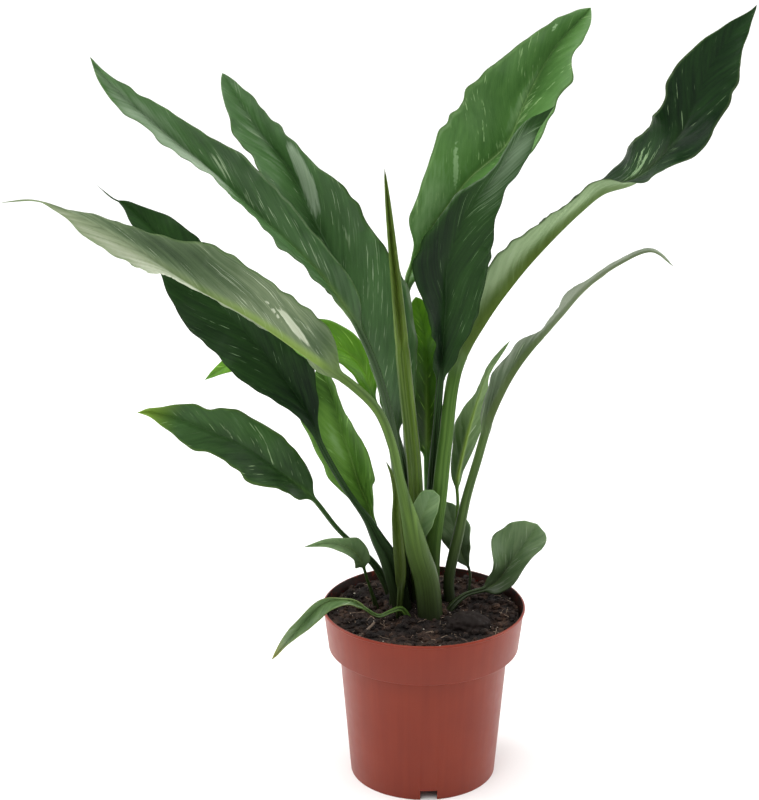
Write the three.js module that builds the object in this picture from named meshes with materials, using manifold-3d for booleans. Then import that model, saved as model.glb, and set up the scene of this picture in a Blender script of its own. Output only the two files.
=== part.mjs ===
// A potted peace lily with variegated leaves, in millimetres, +Z up.
// The origin is the centre of the pot's underside, on the surface that the pot stands on.
// +X is to the right and -Y to the front, where the longest low leaf reaches out to the left.
import * as THREE from "three";
import { mergeVertices } from "three/addons/utils/BufferGeometryUtils.js";
import Module from "manifold-3d";

const wasm = await Module();
wasm.setup();
const { degToRad, lerp, smoothstep } = THREE.MathUtils;

// ---- Driving dimensions of the pot, a common 12 cm nursery pot
const POT_HEIGHT = 106;
const RIM_RADIUS = 60; // outside, at the very top
const COLLAR_HEIGHT = 26; // the wide band under the rim
const COLLAR_FOOT_RADIUS = 56.4; // outside, at the band's lower edge
const BODY_TOP_RADIUS = 50.2; // outside, where the body meets the band
const FOOT_RADIUS = 43.4; // outside, on the table
const WALL = 1.2;
const FLOOR_UNDERSIDE = 6.5; // the floor is raised above the table
const FLOOR_THICKNESS = 1.5;
const BOSS_RADIUS = 8; // the boss under the floor's centre stands on the table
const POT_SIDES = 48;

// Notches in the foot ring let water out from under the floor.
const NOTCH_COUNT = 3;
const NOTCH_WIDTH = 10;
const NOTCH_HEIGHT = 6;
const NOTCH_FIRST_ANGLE = -85; // degrees from +X: at the front, a little to the right
const DRAIN_COUNT = 6;
const DRAIN_RADIUS = 3.5;
const DRAIN_RING_RADIUS = 27;

// ---- The soil
const SOIL_TOP = 97;
const CLEARANCE = 0.3; // between any two pieces that rest on each other
const SOIL_SIDES = 36;
const SOIL_RINGS = 7; // rings of vertices on the soil's surface
const SOIL_RELIEF = 1.1; // height of its unevenness
const CROWN = { x: -2, y: 16, reach: 24, height: 4 }; // the soil rises a little round the leaves' feet
const BARK = { x: 33, y: -9, angle: -12, half: [14, 8, 5.5] }; // a lump of bark in the soil

// ---- The leaves
// A leaf's breadth is seen from the front: its two halves open like a book about the midrib, and each
// half is turned forward, by so many degrees, out of the plane that faces the front of the pot.
const FRONT = new THREE.Vector3(0, -1, 0.31).normalize();
const BLADE_THICKNESS = 0.7;
const FOOT_DEPTH = 12; // how deep each stem stands in its hole in the soil
const FOOT_STEPS = [0, 0.5, 1, 1.6]; // rings of vertices about the soil's surface, in foot depths
const STALK_STEPS = 4; // steps from there up the stem
const BLADE_STEP = 15; // length of a step along the blade, at the most
const FEWEST_BLADE_STEPS = 9;
const ACROSS = [-1, -0.5, 0, 0.5, 1]; // vertices across the blade, from margin to margin
const BLADE_JOIN = 0.1; // share of the blade over which the stem flattens into it
const SHEATH_FADE = 0.2; // half the share of the stem over which the sheath ends
const RIB_SLOPE = 1.2; // how far the midrib's flanks reach, in stem radii

// route: the stem and midrib from the foot to the tip, as [x, y, z] points on a smooth curve.
// stalk: the share of the route that is stem. half: the greatest breadth of one half of the blade.
// widest: where that breadth lies, as a share of the blade. full: 1 is a full outline, 2 a slender one.
// left, right: degrees that each half is turned forward, or back below 0, from the stem to the tip.
// leftShare, rightShare: how much of that breadth a half has, from the stem to the tip.
// stem: its radius at the foot, in its sheath, and at the bare neck. sheath: the share of the stem at which
// the sheath ends. tail: share of the blade that is a bare drip tip.
// wave: how far the margin waves [mm], how often, and where the wave starts [radians].
// ripple: how much the breadth itself comes and goes with the wave.
const LEAVES = [
  {
    name: "leaf_upper_left",
    route: [
      [-11.5, 18.5, 85], [-11.5, 18.5, 97], [-14, 8, 169], [-21, -4, 228], [-34.5, -8, 271],
      [-52.5, -12, 302], [-67.5, -14, 320], [-94, -16, 346], [-117, -18, 369], [-141, -22, 390.5],
      [-169.5, -28, 419], [-179, -30, 432.5],
    ],
    stalk: 0.47, half: 15.6, widest: 0.42, full: 1.45, bow: 0.12,
    left: [40, 80, 80, 75, 5], right: [15, 15, 15, 30, 80],
    leftShare: [0.08, 0.08, 0.2, 0.66, 0.66, 1.29, 0.82, 1.15, 0.72, 0.66, 1.01, 0.75, 1.06, 1.02, 0.99],
    rightShare: [1, 1.01, 1.01, 0.87, 0.85, 0.96, 1.06, 1.12, 1.19, 1.09, 1.1, 1.07, 1.01, 1.45, 1.09],
    stem: [3.4, 2.2], sheath: 0.7, tail: 0, wave: [1.8, 1.7, 0.7], ripple: 0,
  },
  {
    name: "leaf_tall_left",
    route: [
      [-7.5, 29, 85], [-7.5, 29, 97], [-10.5, 18.5, 177.5], [-21.5, 18, 221], [-31, 21, 255.5],
      [-44, 25, 288.5], [-64, 31, 330.5], [-79.5, 38, 360], [-98.5, 46, 382], [-117.5, 54, 411.5],
    ],
    stalk: 0.34, half: 28.4, widest: 0.3, full: 1.05, bow: 0.12,
    left: [60, 60, 60, 60, 60, 60, 60, 40, 15], right: [30, 15, 10, 60, 45],
    leftShare: [0.08, 0.15, 0.08, 0.08, 0.15, 0.37, 0.85, 0.97, 0.96, 1.11, 1.32, 1.08, 1.3, 1.12, 1.24],
    rightShare: [1.45, 0.77, 0.81, 0.93, 1.03, 1.13, 1.09, 1.01, 1.13, 1.17, 0.91, 0.92, 1.02,
      1.12, 1.03],
    stem: [3.6, 2.4], sheath: 0.7, tail: 0, wave: [2.5, 2, 0.7], ripple: 0,
  },
  {
    name: "leaf_long_left",
    route: [
      [4, 0, 85], [4, 0, 97], [1.5, -0.5, 121.5], [-4, -4.5, 142.5], [-9, -11.5, 167],
      [-14, -18.5, 191], [-18.5, -26.5, 215], [-26, -34, 237], [-38.5, -42, 253.5],
      [-64.5, -54, 276.5], [-91, -66, 299.5], [-118.5, -80, 320], [-147.5, -92, 342.5],
      [-178.5, -106, 364.5], [-196.5, -112, 372.5], [-212, -116, 372.5],
    ],
    stalk: 0.47, half: 22.9, widest: 0.35, full: 1.7, bow: 0.12,
    left: [-80, -80, -75, -22, -10], right: [-30, -25, -10, -50, -80],
    leftShare: [1.07, 1.45, 1.15, 0.99, 0.97, 0.99, 1.25, 1.45, 1.15, 0.79, 0.98, 1.22, 0.76,
      0.92, 1.01],
    rightShare: [1.11, 1.45, 1.2, 1.12, 1.02, 0.99, 1.1, 1.12, 0.89, 0.83, 0.84, 1.18, 1.13, 1.02, 0.99],
    stem: [7.4, 2.6], sheath: 0.42, tail: 0.09, wave: [2, 3.1, 0.7], ripple: 0,
  },
  {
    name: "leaf_dark_left",
    route: [
      [-12.5, 8, 85], [-12.5, 8, 97], [-20.5, 6, 131.5], [-27, 4.5, 145], [-33, 1, 158.5],
      [-40.5, -2, 171], [-46.5, -4.5, 181.5], [-59.5, -9.5, 208.5], [-65.5, -8, 224.5],
      [-88.5, -4, 257.5], [-116.5, 2, 288], [-144, 8, 318.5], [-168.5, 14, 342.5],
      [-177.5, 16, 346.5], [-187, 18, 354],
    ],
    stalk: 0.4, half: 20.7, widest: 0.52, full: 2, bow: 0.12,
    left: [60, 35, 5, 50, 35], right: [25, 30, 35, 20, 30],
    leftShare: [0.98, 0.88, 0.94, 1, 1.1, 1.11, 0.97, 1.05, 1.05, 1.02, 0.85, 1.03, 1.25, 1.03, 0.98],
    rightShare: [0.8, 0.4, 1.07, 1.42, 0.88, 0.73, 0.85, 0.84, 0.75, 0.91, 1.06, 1.01, 0.83, 0.86, 0.99],
    stem: [5.8, 1.8], sheath: 0.5, tail: 0.08, wave: [2, 4.3, 1.8], ripple: 0,
  },
  {
    name: "leaf_back_left",
    route: [
      [-15.5, 25, 85], [-15.5, 25, 97], [-15.5, 19, 164.5], [-20.5, 20.5, 201.5], [-30, 30, 222],
      [-37.5, 40, 240], [-54, 50, 251], [-87.5, 64, 246.5], [-121, 78, 229], [-136, 84, 218],
    ],
    stalk: 0.5, half: 15, widest: 0.41, full: 1.31, bow: 0.12,
    left: [55, 60, 35, 25, 25], right: [10, 0, 10, 20, 25],
    leftShare: [0.95, 0.9, 0.97, 1, 1, 1, 0.75, 0.5, 0.3],
    rightShare: [0.81, 0.45, 0.73, 0.88, 0.98, 1, 1, 0.6, 0.4],
    stem: [3, 1.8], sheath: 0.7, tail: 0, wave: [0, 2.6, 0.2], ripple: 0,
  },
  {
    name: "leaf_low_left",
    route: [
      [-20, 30, 85], [-20, 30, 97], [-28.5, 31, 116], [-51.5, 23, 144], [-66, 13.5, 167.5],
      [-81.5, 3, 185.5], [-103, -9, 207], [-130.5, -20, 223.5], [-154, -28, 234], [-161.5, -30, 234],
    ],
    stalk: 0.42, half: 16.3, widest: 0.47, full: 2, bow: 0.12,
    left: [35, 60, 45, 35, 35], right: [0, 0, 0, 35, 55],
    leftShare: [0.99, 0.97, 1, 1.13, 1.08, 0.87, 1.12, 1.18, 1.02],
    rightShare: [1.05, 1.25, 1.1, 1.05, 0.94, 1.16, 1.07, 1.25, 1.02],
    stem: [2.6, 1.5], sheath: 0.45, tail: 0, wave: [1.5, 3.1, 1.5], ripple: 0,
  },
  {
    name: "leaf_small_left",
    route: [
      [-28, 10, 85], [-28, 10, 97], [-33.5, 5.5, 119], [-37, -1.5, 134], [-43, -12.5, 146],
      [-54, -25.5, 154.5], [-68.5, -35, 156],
    ],
    stalk: 0.42, half: 6.8, widest: 0.3, full: 2, bow: 0.1,
    left: [35, 60, 45, 50], right: [20, 10, 45, 40],
    leftShare: [1.01, 0.95, 0.77, 0.82, 1, 0.91, 0.98],
    rightShare: [0.99, 0.98, 1.04, 1.33, 1.17, 1.45, 1.08],
    stem: [1.6, 0.9], sheath: 0.5, tail: 0, wave: [0, 3.1, 4.7], ripple: 0,
  },
  {
    name: "leaf_inner_left",
    route: [
      [-18.5, 16, 85], [-18.5, 16, 97], [-20.5, 14.5, 128], [-25.5, 14.5, 141], [-30.5, 16.5, 152.5],
      [-33.5, 18.5, 162], [-38.5, 22, 172.5], [-44, 23.5, 191], [-49.5, 27, 205.5], [-55, 32, 225],
      [-63, 38, 241.5],
    ],
    stalk: 0.36, half: 18.2, widest: 0.6, full: 2, bow: 0.12,
    left: [35, 60, 20, 10, 15], right: [55, 66, 66, 62, 60],
    leftShare: [0.99, 1.07, 1.27, 1.12, 0.97, 1.01, 1.34, 1.1, 0.98],
    rightShare: [0.5, 0.5, 1.3, 1.45, 1.17, 0.85, 0.39, 0.58, 0.95],
    stem: [2, 1.3], sheath: 0.5, tail: 0, wave: [0, 1.8, 1.7], ripple: 0,
  },
  {
    name: "leaf_over_rim",
    route: [
      [-8.5, -4, 85], [-8.5, -4, 97], [-13, -6, 105.5], [-19, -12, 106.5], [-26, -21, 107.5],
      [-34.5, -30, 116.5], [-42, -36, 123.5], [-56, -44, 125.5], [-70, -52, 113.5], [-86, -60, 97],
    ],
    stalk: 0.42, half: 5.3, widest: 0.51, full: 2, bow: 0.12,
    left: [40, 60, 50, 55], right: [50, 55, 45, 45],
    leftShare: [1, 0.89, 0.78, 1.45, 1.45, 1.13, 0.77, 0.32, 0.89],
    rightShare: [1.04, 0.78, 0.12, 0.58, 0.95, 0.87, 1.3, 1.34, 1.04],
    stem: [1.8, 1.1], sheath: 0.5, tail: 0, wave: [0, 3, 2.7], ripple: 0,
  },
  {
    name: "leaf_rolled_spike",
    route: [
      [-3.5, 20, 85], [-3.5, 20, 97], [-5.5, 8.5, 181], [-11.5, 4, 244], [-16.5, 3, 297.5],
      [-20, 3, 332], [-23.5, 3, 367],
    ],
    stalk: 0.62, half: 2.6, widest: 0.3, full: 1.3, bow: 0.12,
    left: [55, 60, 60], right: [55, 60, 60],
    stem: [4.4, 4.2], sheath: 0.8, tail: 0, wave: [0, 3, 0], ripple: 0,
  },
  {
    name: "leaf_tall_centre",
    route: [
      [-6, 38, 85], [-6, 38, 97], [-8, 30.5, 173], [-12.5, 33, 259], [-11.5, 35, 289], [-1, 38, 318],
      [23.5, 44, 351.5], [45.5, 49, 371.5], [57.5, 56, 398], [73.5, 63, 426.5], [93, 68, 447.5],
    ],
    stalk: 0.5, half: 36.5, widest: 0.55, full: 2, bow: 0.12,
    left: [60, 60, 0, 50, 60], right: [60, 70, 74, 60, 45],
    leftShare: [0.2, 0.22, 0.3, 1.06, 0.98, 0.88, 0.94, 0.99, 0.95, 0.98, 1.16, 0.81, 0.83, 1.05, 1.02],
    rightShare: [1, 1, 1, 1, 1, 1, 1, 1, 0.98, 0.86, 0.81, 1.12, 0.74, 0.94, 1.35],
    stem: [3.6, 2.4], sheath: 0.7, tail: 0, wave: [1.8, 4, 0.4], ripple: 0,
  },
  {
    name: "leaf_dark_centre",
    route: [
      [4, 31, 85], [4, 31, 97], [5, 18.5, 177.5], [8.5, 5, 242.5], [11, -5, 288], [12, -14, 317],
      [22.5, -24, 348.5], [36, -30, 368.5], [49.5, -36, 390.5], [67, -44, 410],
    ],
    stalk: 0.45, half: 18.3, widest: 0.38, full: 2, bow: 0.12,
    left: [60, 60, 35, 60, 15], right: [60, 15, 5, 0, 0],
    leftShare: [1.03, 0.83, 0.36, 0.94, 0.91, 1.02, 1.2, 1.06, 0.83, 0.72, 0.78, 0.64, 0.68, 1.45, 1.13],
    rightShare: [1.01, 0.93, 0.8, 1, 1.11, 1.15, 1.19, 1.19, 1.13, 0.98, 0.69, 1.08, 1.45, 0.97, 0.94],
    stem: [3.4, 2.2], sheath: 0.7, tail: 0, wave: [2, 3.7, 0.7], ripple: 0,
  },
  {
    name: "leaf_tall_right",
    route: [
      [4.5, 16, 85], [4.5, 16, 97], [5.5, 13, 138.5], [8.5, 9, 168.5], [12, 6.5, 206.5],
      [18, 11, 249.5], [33, 10, 280], [51.5, 6, 308], [66.5, 2, 327], [84, -2, 346], [96.5, -5, 357],
      [113.5, -8, 363.5], [127, -12, 376.5], [136.5, -16, 390], [142.5, -20, 406],
      [149.5, -27, 428.5], [160, -34, 447.5], [170, -40, 462],
    ],
    stalk: 0.36, half: 22.5, widest: 0.5, full: 1.4, bow: 0.12,
    left: [-10, 5, 35, 68, 84, 106, 148, 165, 160],
    right: [-95, -100, -103, -104, -104, -132, -170, -185, -165],
    leftShare: [1, 1, 1, 0.96, 0.8, 0.82, 0.95, 0.83, 0.73, 0.72, 1, 1.03, 0.95, 1.14, 1.32, 0.99, 0.74],
    rightShare: [1, 0.98, 0.99, 1.24, 1.45, 1.45, 0.9, 0.78, 0.81, 1.18, 1.02, 0.89, 0.82,
      1.11, 0.98, 0.63, 0.08],
    stem: [4.5, 3.9], sheath: 0.75, tail: 0, wave: [1, 5, 5.8], ripple: 0,
  },
  {
    name: "leaf_arching_right",
    route: [
      [16, 20, 85], [16, 20, 97], [15, 20.5, 113], [20.5, 19.5, 143.5], [24.5, 18, 165.5],
      [30.5, 16, 189.5], [39, 14, 221], [53, 10, 251], [76.5, 6, 282], [90, 2, 299.5],
      [108, -2, 314.5], [125.5, -6, 322.5], [137.5, -8, 314.5],
    ],
    stalk: 0.42, half: 11, widest: 0.37, full: 1.32, bow: 0.12,
    left: [-20, -32, -52, -52, -45], right: [-95, -100, -95, -100, -95],
    leftShare: [0.99, 0.95, 0.99, 1.2, 0.81, 0.93, 0.49, 0.67, 1.07, 0.58, 0.53, 0.92, 0.87, 0.75, 0.96],
    rightShare: [1, 0.99, 0.98, 1, 1.27, 1.45, 0.74, 1.45, 1.45, 0.82, 0.12, 1.16, 1.11, 1.02, 0.99],
    stem: [3.3, 2.6], sheath: 0.6, tail: 0, wave: [1, 3, 0.4], ripple: 0,
  },
  {
    name: "leaf_small_right",
    route: [
      [16, 32, 85], [16, 32, 97], [20, 32.5, 156.5], [19.5, 32, 171], [24.5, 32.5, 198],
      [31, 36, 221.5], [38, 40, 240.5], [50, 44, 256.5],
    ],
    stalk: 0.45, half: 9.6, widest: 0.38, full: 2, bow: 0.12,
    left: [-30, -30, -48, -50], right: [-45, -40, -40, -40],
    leftShare: [1.03, 0.9, 0.89, 1.13, 1.06, 0.49, 0.43, 0.75, 1.01],
    rightShare: [0.89, 0.62, 0.94, 1.02, 1.22, 1, 0.39, 0.83, 1.03],
    stem: [1.6, 1], sheath: 0.5, tail: 0, wave: [0, 1.5, 1.3], ripple: 0,
  },
  {
    name: "leaf_low_right",
    route: [
      [27, 32, 85], [27, 32, 97], [28, 37, 111.5], [23, 39.5, 122], [18.5, 39.5, 138],
      [16, 41.5, 146], [13.5, 42, 155],
    ],
    stalk: 0.4, half: 8.6, widest: 0.6, full: 1.75, bow: 0.12,
    left: [20, 15, 15], right: [25, 20, 15],
    stem: [1.3, 0.8], sheath: 0.5, tail: 0, wave: [0.8, 3, 1], ripple: 0.08,
  },
  {
    name: "leaf_torn_right",
    route: [
      [14.5, 8, 85], [14.5, 8, 97], [24, 12, 106.5], [38, 16, 110], [44, 19.5, 113.5], [53, 24, 125],
      [62.5, 27, 138], [67.5, 28.5, 146.5],
    ],
    stalk: 0.42, half: 15.1, widest: 0.6, full: 1.12, bow: 0.12,
    left: [35, 60, 5, 15], right: [30, 55, 60, 35],
    leftShare: [1, 0.93, 0.81, 1.26, 1.12, 1.18, 1.02, 1.16, 1.02],
    rightShare: [0.99, 0.95, 1.01, 0.87, 0.79, 0.89, 0.85, 1.03, 1.13],
    stem: [2.4, 1.6], sheath: 0.6, tail: 0, wave: [0, 3.3, 5.7], ripple: 0,
  },
  {
    name: "leaf_small_front",
    route: [
      [-1, 10, 85], [-1, 10, 97], [-2.5, 9.5, 121], [-3, 7.5, 137.5], [-2.5, 3.5, 152], [0, 0, 165],
      [5, -2.5, 179],
    ],
    stalk: 0.62, half: 7, widest: 0.6, full: 0.9, bow: 0.12,
    left: [10, 10, 10], right: [10, 10, 10],
    stem: [1.4, 0.9], sheath: 0.5, tail: 0, wave: [0, 3, 0], ripple: 0.03,
  },
  {
    name: "leaf_front_sheath",
    route: [
      [-14.5, -1, 85], [-14.5, -1, 97], [-13.5, -2, 125.5], [-14.5, -3.5, 142], [-16, -4, 161],
      [-16.5, -5, 178.5], [-19.5, -6, 191.5], [-22.5, -6, 198],
    ],
    stalk: 0.25, half: 3.6, widest: 0.3, full: 1.6, bow: 0.12,
    left: [30, 35, 30], right: [40, 45, 40],
    stem: [2.1, 1.9], sheath: 0.6, tail: 0, wave: [0, 3, 0], ripple: 0,
  },
  {
    name: "leaf_back_centre",
    route: [
      [4.5, 44, 85], [4.5, 44, 97], [2, 38.5, 170], [1, 42, 219.5], [-0.5, 50, 257.5],
      [-6, 55, 279.5],
    ],
    stalk: 0.5, half: 11, widest: 0.5, full: 1.1, bow: 0.12,
    left: [25, 30, 20], right: [30, 35, 20],
    stem: [3, 2.4], sheath: 0.7, tail: 0, wave: [1.5, 3, 1], ripple: 0.05,
  },
];

// ---- Small helpers

// A closed mesh as a solid, with its shared vertices merged.
function solidOf(geometry) {
  const bare = new THREE.BufferGeometry();
  bare.setAttribute("position", geometry.getAttribute("position"));
  bare.setIndex(geometry.getIndex());
  const merged = mergeVertices(bare, 1e-4);
  return new wasm.Manifold(
    new wasm.Mesh({
      numProp: 3,
      vertProperties: new Float32Array(merged.attributes.position.array),
      triVerts: new Uint32Array(merged.index.array),
    }),
  );
}

function geometryOf(solid) {
  const { numProp, vertProperties, triVerts } = solid.getMesh();
  const geometry = new THREE.BufferGeometry();
  const positions = new Float32Array((vertProperties.length / numProp) * 3);
  for (let i = 0; i < positions.length / 3; i++)
    for (let k = 0; k < 3; k++) positions[3 * i + k] = vertProperties[numProp * i + k];
  geometry.setAttribute("position", new THREE.BufferAttribute(positions, 3));
  geometry.setIndex([...triVerts]);
  geometry.computeVertexNormals();
  return geometry;
}

// A turned solid: its profile is [radius, height] points, and its axis is +Z.
function turned(profile, sides) {
  const points = profile.map(([radius, height]) => new THREE.Vector2(radius, height));
  return new THREE.LatheGeometry(points, sides).rotateX(Math.PI / 2);
}

// The radius of the body's outside at a height above the table.
function bodyRadius(height) {
  return lerp(FOOT_RADIUS, BODY_TOP_RADIUS, height / (POT_HEIGHT - COLLAR_HEIGHT));
}

// ---- The pot

function potGeometry() {
  const collarFoot = POT_HEIGHT - COLLAR_HEIGHT;
  const floorTop = FLOOR_UNDERSIDE + FLOOR_THICKNESS;
  const lipHeight = 1.6; // the rim's edge is rounded in two steps
  const profile = [
    [0, 0],
    [BOSS_RADIUS, 0],
    [BOSS_RADIUS, FLOOR_UNDERSIDE],
    [FOOT_RADIUS - WALL, FLOOR_UNDERSIDE],
    [FOOT_RADIUS - WALL, 0],
    [FOOT_RADIUS, 0],
    [bodyRadius(collarFoot), collarFoot],
    [COLLAR_FOOT_RADIUS, collarFoot],
    [RIM_RADIUS - 0.5, POT_HEIGHT - lipHeight],
    [RIM_RADIUS, POT_HEIGHT - lipHeight / 2],
    [RIM_RADIUS - 0.5, POT_HEIGHT],
    [RIM_RADIUS - WALL, POT_HEIGHT],
    [COLLAR_FOOT_RADIUS - WALL, collarFoot + WALL],
    [bodyRadius(collarFoot) - WALL, collarFoot + WALL],
    [bodyRadius(floorTop) - WALL, floorTop],
    [0, floorTop],
  ];
  let pot = solidOf(turned(profile, POT_SIDES));
  for (let i = 0; i < NOTCH_COUNT; i++) {
    const angle = degToRad(NOTCH_FIRST_ANGLE) + (i * 2 * Math.PI) / NOTCH_COUNT;
    const reach = 8; // long enough to pass through the foot ring
    const notch = new THREE.BoxGeometry(reach, NOTCH_WIDTH, 2 * NOTCH_HEIGHT);
    notch.translate(FOOT_RADIUS, 0, 0).rotateZ(angle);
    pot = pot.subtract(solidOf(notch));
  }
  for (let i = 0; i < DRAIN_COUNT; i++) {
    const angle = (i * 2 * Math.PI) / DRAIN_COUNT;
    const drain = new THREE.CylinderGeometry(DRAIN_RADIUS, DRAIN_RADIUS, 4 * FLOOR_THICKNESS, 12);
    drain.rotateX(Math.PI / 2).translate(DRAIN_RING_RADIUS, 0, floorTop).rotateZ(angle);
    pot = pot.subtract(solidOf(drain));
  }
  return geometryOf(pot);
}

// ---- The leaves

// The value at a share of the way along a list of equally spaced values, with no corners.
function eased(values, share) {
  const place = share * (values.length - 1);
  const i = Math.min(Math.floor(place), values.length - 2);
  return lerp(values[i], values[i + 1], smoothstep(place - i, 0, 1));
}

function routeOf(leaf) {
  const curve = new THREE.CatmullRomCurve3(leaf.route.map((p) => new THREE.Vector3(...p)));
  curve.arcLengthDivisions = 400;
  return curve;
}

// The breadth of one half of the blade, at a share of the blade's length.
function breadth(leaf, share) {
  const place = Math.min(share / (1 - leaf.tail), 0.995);
  if (place <= 0) return 0;
  const baseSide = (place / leaf.widest) ** (leaf.full * leaf.widest);
  const tipSide = ((1 - place) / (1 - leaf.widest)) ** (leaf.full * (1 - leaf.widest));
  return leaf.half * baseSide * tipSide;
}

// The two rows of vertices, on the upper and on the lower face, at a share of the whole route.
// spread is added to the stem's radius all round, for the hole that the stem stands in.
function leafSection(leaf, curve, share, spread = 0) {
  const centre = curve.getPointAt(share);
  const step = 0.012; // the tangent is taken across a short stretch, so that it turns smoothly
  const ahead = curve.getPointAt(Math.min(share + step, 1));
  const tangent = ahead.sub(curve.getPointAt(Math.max(share - step, 0))).normalize();
  const side = new THREE.Vector3().crossVectors(tangent, FRONT).normalize();
  const face = new THREE.Vector3().crossVectors(side, tangent);
  const mix = (a, b) => side.clone().multiplyScalar(a).addScaledVector(face, b);

  const blade = Math.max((share - leaf.stalk) / (1 - leaf.stalk), 0);
  const flat = smoothstep(blade, 0, BLADE_JOIN); // 0 on the stem, 1 on the blade
  const [footRadius, neckRadius] = leaf.stem;
  const upStem = Math.min(share / leaf.stalk, 1);
  const bare = smoothstep(upStem, leaf.sheath - SHEATH_FADE, leaf.sheath + SHEATH_FADE);
  const stemRadius = lerp(footRadius, neckRadius, bare);
  const radius = stemRadius * (1 - blade) ** 0.6 + spread;
  const leftTurn = degToRad(eased(leaf.left, blade));
  const rightTurn = degToRad(eased(leaf.right, blade));
  const roll = (rightTurn - leftTurn) / 2;
  const across = mix(Math.cos(roll), Math.sin(roll));
  const upward = mix(-Math.sin(roll), Math.cos(roll));
  const [waveHeight, waveCount, waveStart] = leaf.wave;
  const waving = Math.min(1, 4 * blade, 4 * (1 - blade));

  const upper = [];
  const lower = [];
  for (const s of ACROSS) {
    const hand = Math.sign(s) || 1;
    const turn = hand > 0 ? rightTurn : leftTurn;
    const bladeOut = mix(hand * Math.cos(turn), Math.sin(turn));
    const bladeUp = mix(-hand * Math.sin(turn), Math.cos(turn));
    const out = across.clone().multiplyScalar(hand).lerp(bladeOut, flat).normalize();
    const up = upward.clone().lerp(s === 0 ? upward : bladeUp, flat).normalize();
    const wave = 2 * Math.PI * waveCount * blade + waveStart + (hand > 0 ? 0 : 2);
    const ripple = 1 + leaf.ripple * waving * Math.cos(wave);
    const halfShare = eased((hand > 0 ? leaf.rightShare : leaf.leftShare) ?? [1, 1], blade);
    const bladeHalf = breadth(leaf, blade) * halfShare * ripple + Math.max(0.45, 0.3 * radius);
    const half = lerp(Math.max(radius, 0.4), bladeHalf, flat);
    const rise = waveHeight * waving * Math.abs(s) ** 1.5 * Math.sin(wave) - leaf.bow * half * flat * s * s;
    const middle = centre.clone().addScaledVector(out, Math.abs(s) * half).addScaledVector(up, rise);
    const stemHalf = radius * Math.sqrt(1 - s * s) + 0.3;
    const thick = lerp(stemHalf, BLADE_THICKNESS / 2, flat);
    const rib = radius * Math.max(1 - (Math.abs(s) * half) / (RIB_SLOPE * radius + 1), 0) * flat;
    upper.push(middle.clone().addScaledVector(up, thick));
    lower.push(middle.clone().addScaledVector(up, -thick - rib));
  }
  return { upper, lower };
}

// A closed loft through sections. Both faces are split along the same diagonals, so that a waved blade's
// faces never meet.
function loft(sections) {
  const wide = ACROSS.length;
  const positions = [];
  const triangles = [];
  const quad = (a, b, c, d) => triangles.push(a, b, c, a, c, d);
  for (const { upper, lower } of sections)
    for (const point of [...upper, ...lower]) positions.push(point.x, point.y, point.z);
  for (let i = 0; i < sections.length - 1; i++) {
    const near = 2 * wide * i;
    const far = near + 2 * wide;
    for (let j = 0; j < wide - 1; j++) {
      quad(near + j, near + j + 1, far + j + 1, far + j);
      triangles.push(near + wide + j, far + wide + j + 1, near + wide + j + 1);
      triangles.push(near + wide + j, far + wide + j, far + wide + j + 1);
    }
    quad(near, far, far + wide, near + wide);
    quad(near + 2 * wide - 1, far + 2 * wide - 1, far + wide - 1, near + wide - 1);
  }
  const last = 2 * wide * (sections.length - 1);
  for (let j = 0; j < wide - 1; j++) {
    quad(j, wide + j, wide + j + 1, j + 1);
    quad(last + j, last + j + 1, last + wide + j + 1, last + wide + j);
  }
  const geometry = new THREE.BufferGeometry();
  geometry.setAttribute("position", new THREE.Float32BufferAttribute(positions, 3));
  geometry.setIndex(triangles);
  geometry.computeVertexNormals();
  return geometry;
}

function leafGeometry(leaf) {
  const curve = routeOf(leaf);
  const shares = FOOT_STEPS.map((depths) => (depths * FOOT_DEPTH) / curve.getLength());
  const lowest = shares.pop();
  for (let i = 0; i < STALK_STEPS; i++) shares.push(lerp(lowest, leaf.stalk, i / STALK_STEPS));
  const bladeLength = (1 - leaf.stalk) * curve.getLength();
  const steps = Math.max(Math.ceil(bladeLength / BLADE_STEP), FEWEST_BLADE_STEPS);
  for (let i = 0; i <= steps; i++) shares.push(lerp(leaf.stalk, 1, i / steps));
  return loft(shares.map((share) => leafSection(leaf, curve, share)));
}

// The plain hole that a leaf's stem stands in: the stem's own form, a little wider and deeper.
function holeGeometry(leaf) {
  const curve = routeOf(leaf);
  const length = curve.getLength();
  const sections = FOOT_STEPS.map((depths) =>
    leafSection(leaf, curve, (depths * FOOT_DEPTH) / length, CLEARANCE),
  );
  const bottom = leafSection(leaf, curve, 0, CLEARANCE);
  for (const point of [...bottom.upper, ...bottom.lower]) point.z -= CLEARANCE;
  return loft([bottom, ...sections]);
}

// ---- The soil

// The height of the soil's surface, uneven and a little higher at the crown, but level at the pot's wall.
function soilHeight(x, y) {
  const reach = COLLAR_FOOT_RADIUS;
  const level = 1 - (Math.hypot(x, y) / reach) ** 4;
  const broad = Math.sin(x / 9 + 1) * Math.cos(y / 11);
  const fine = Math.sin(x / 4.3 + y / 5.1);
  const fromCrown = Math.hypot(x - CROWN.x, y - CROWN.y) / CROWN.reach;
  const mound = CROWN.height * Math.exp(-fromCrown * fromCrown);
  return SOIL_TOP + level * (SOIL_RELIEF * (broad + 0.6 * fine) + mound);
}

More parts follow.
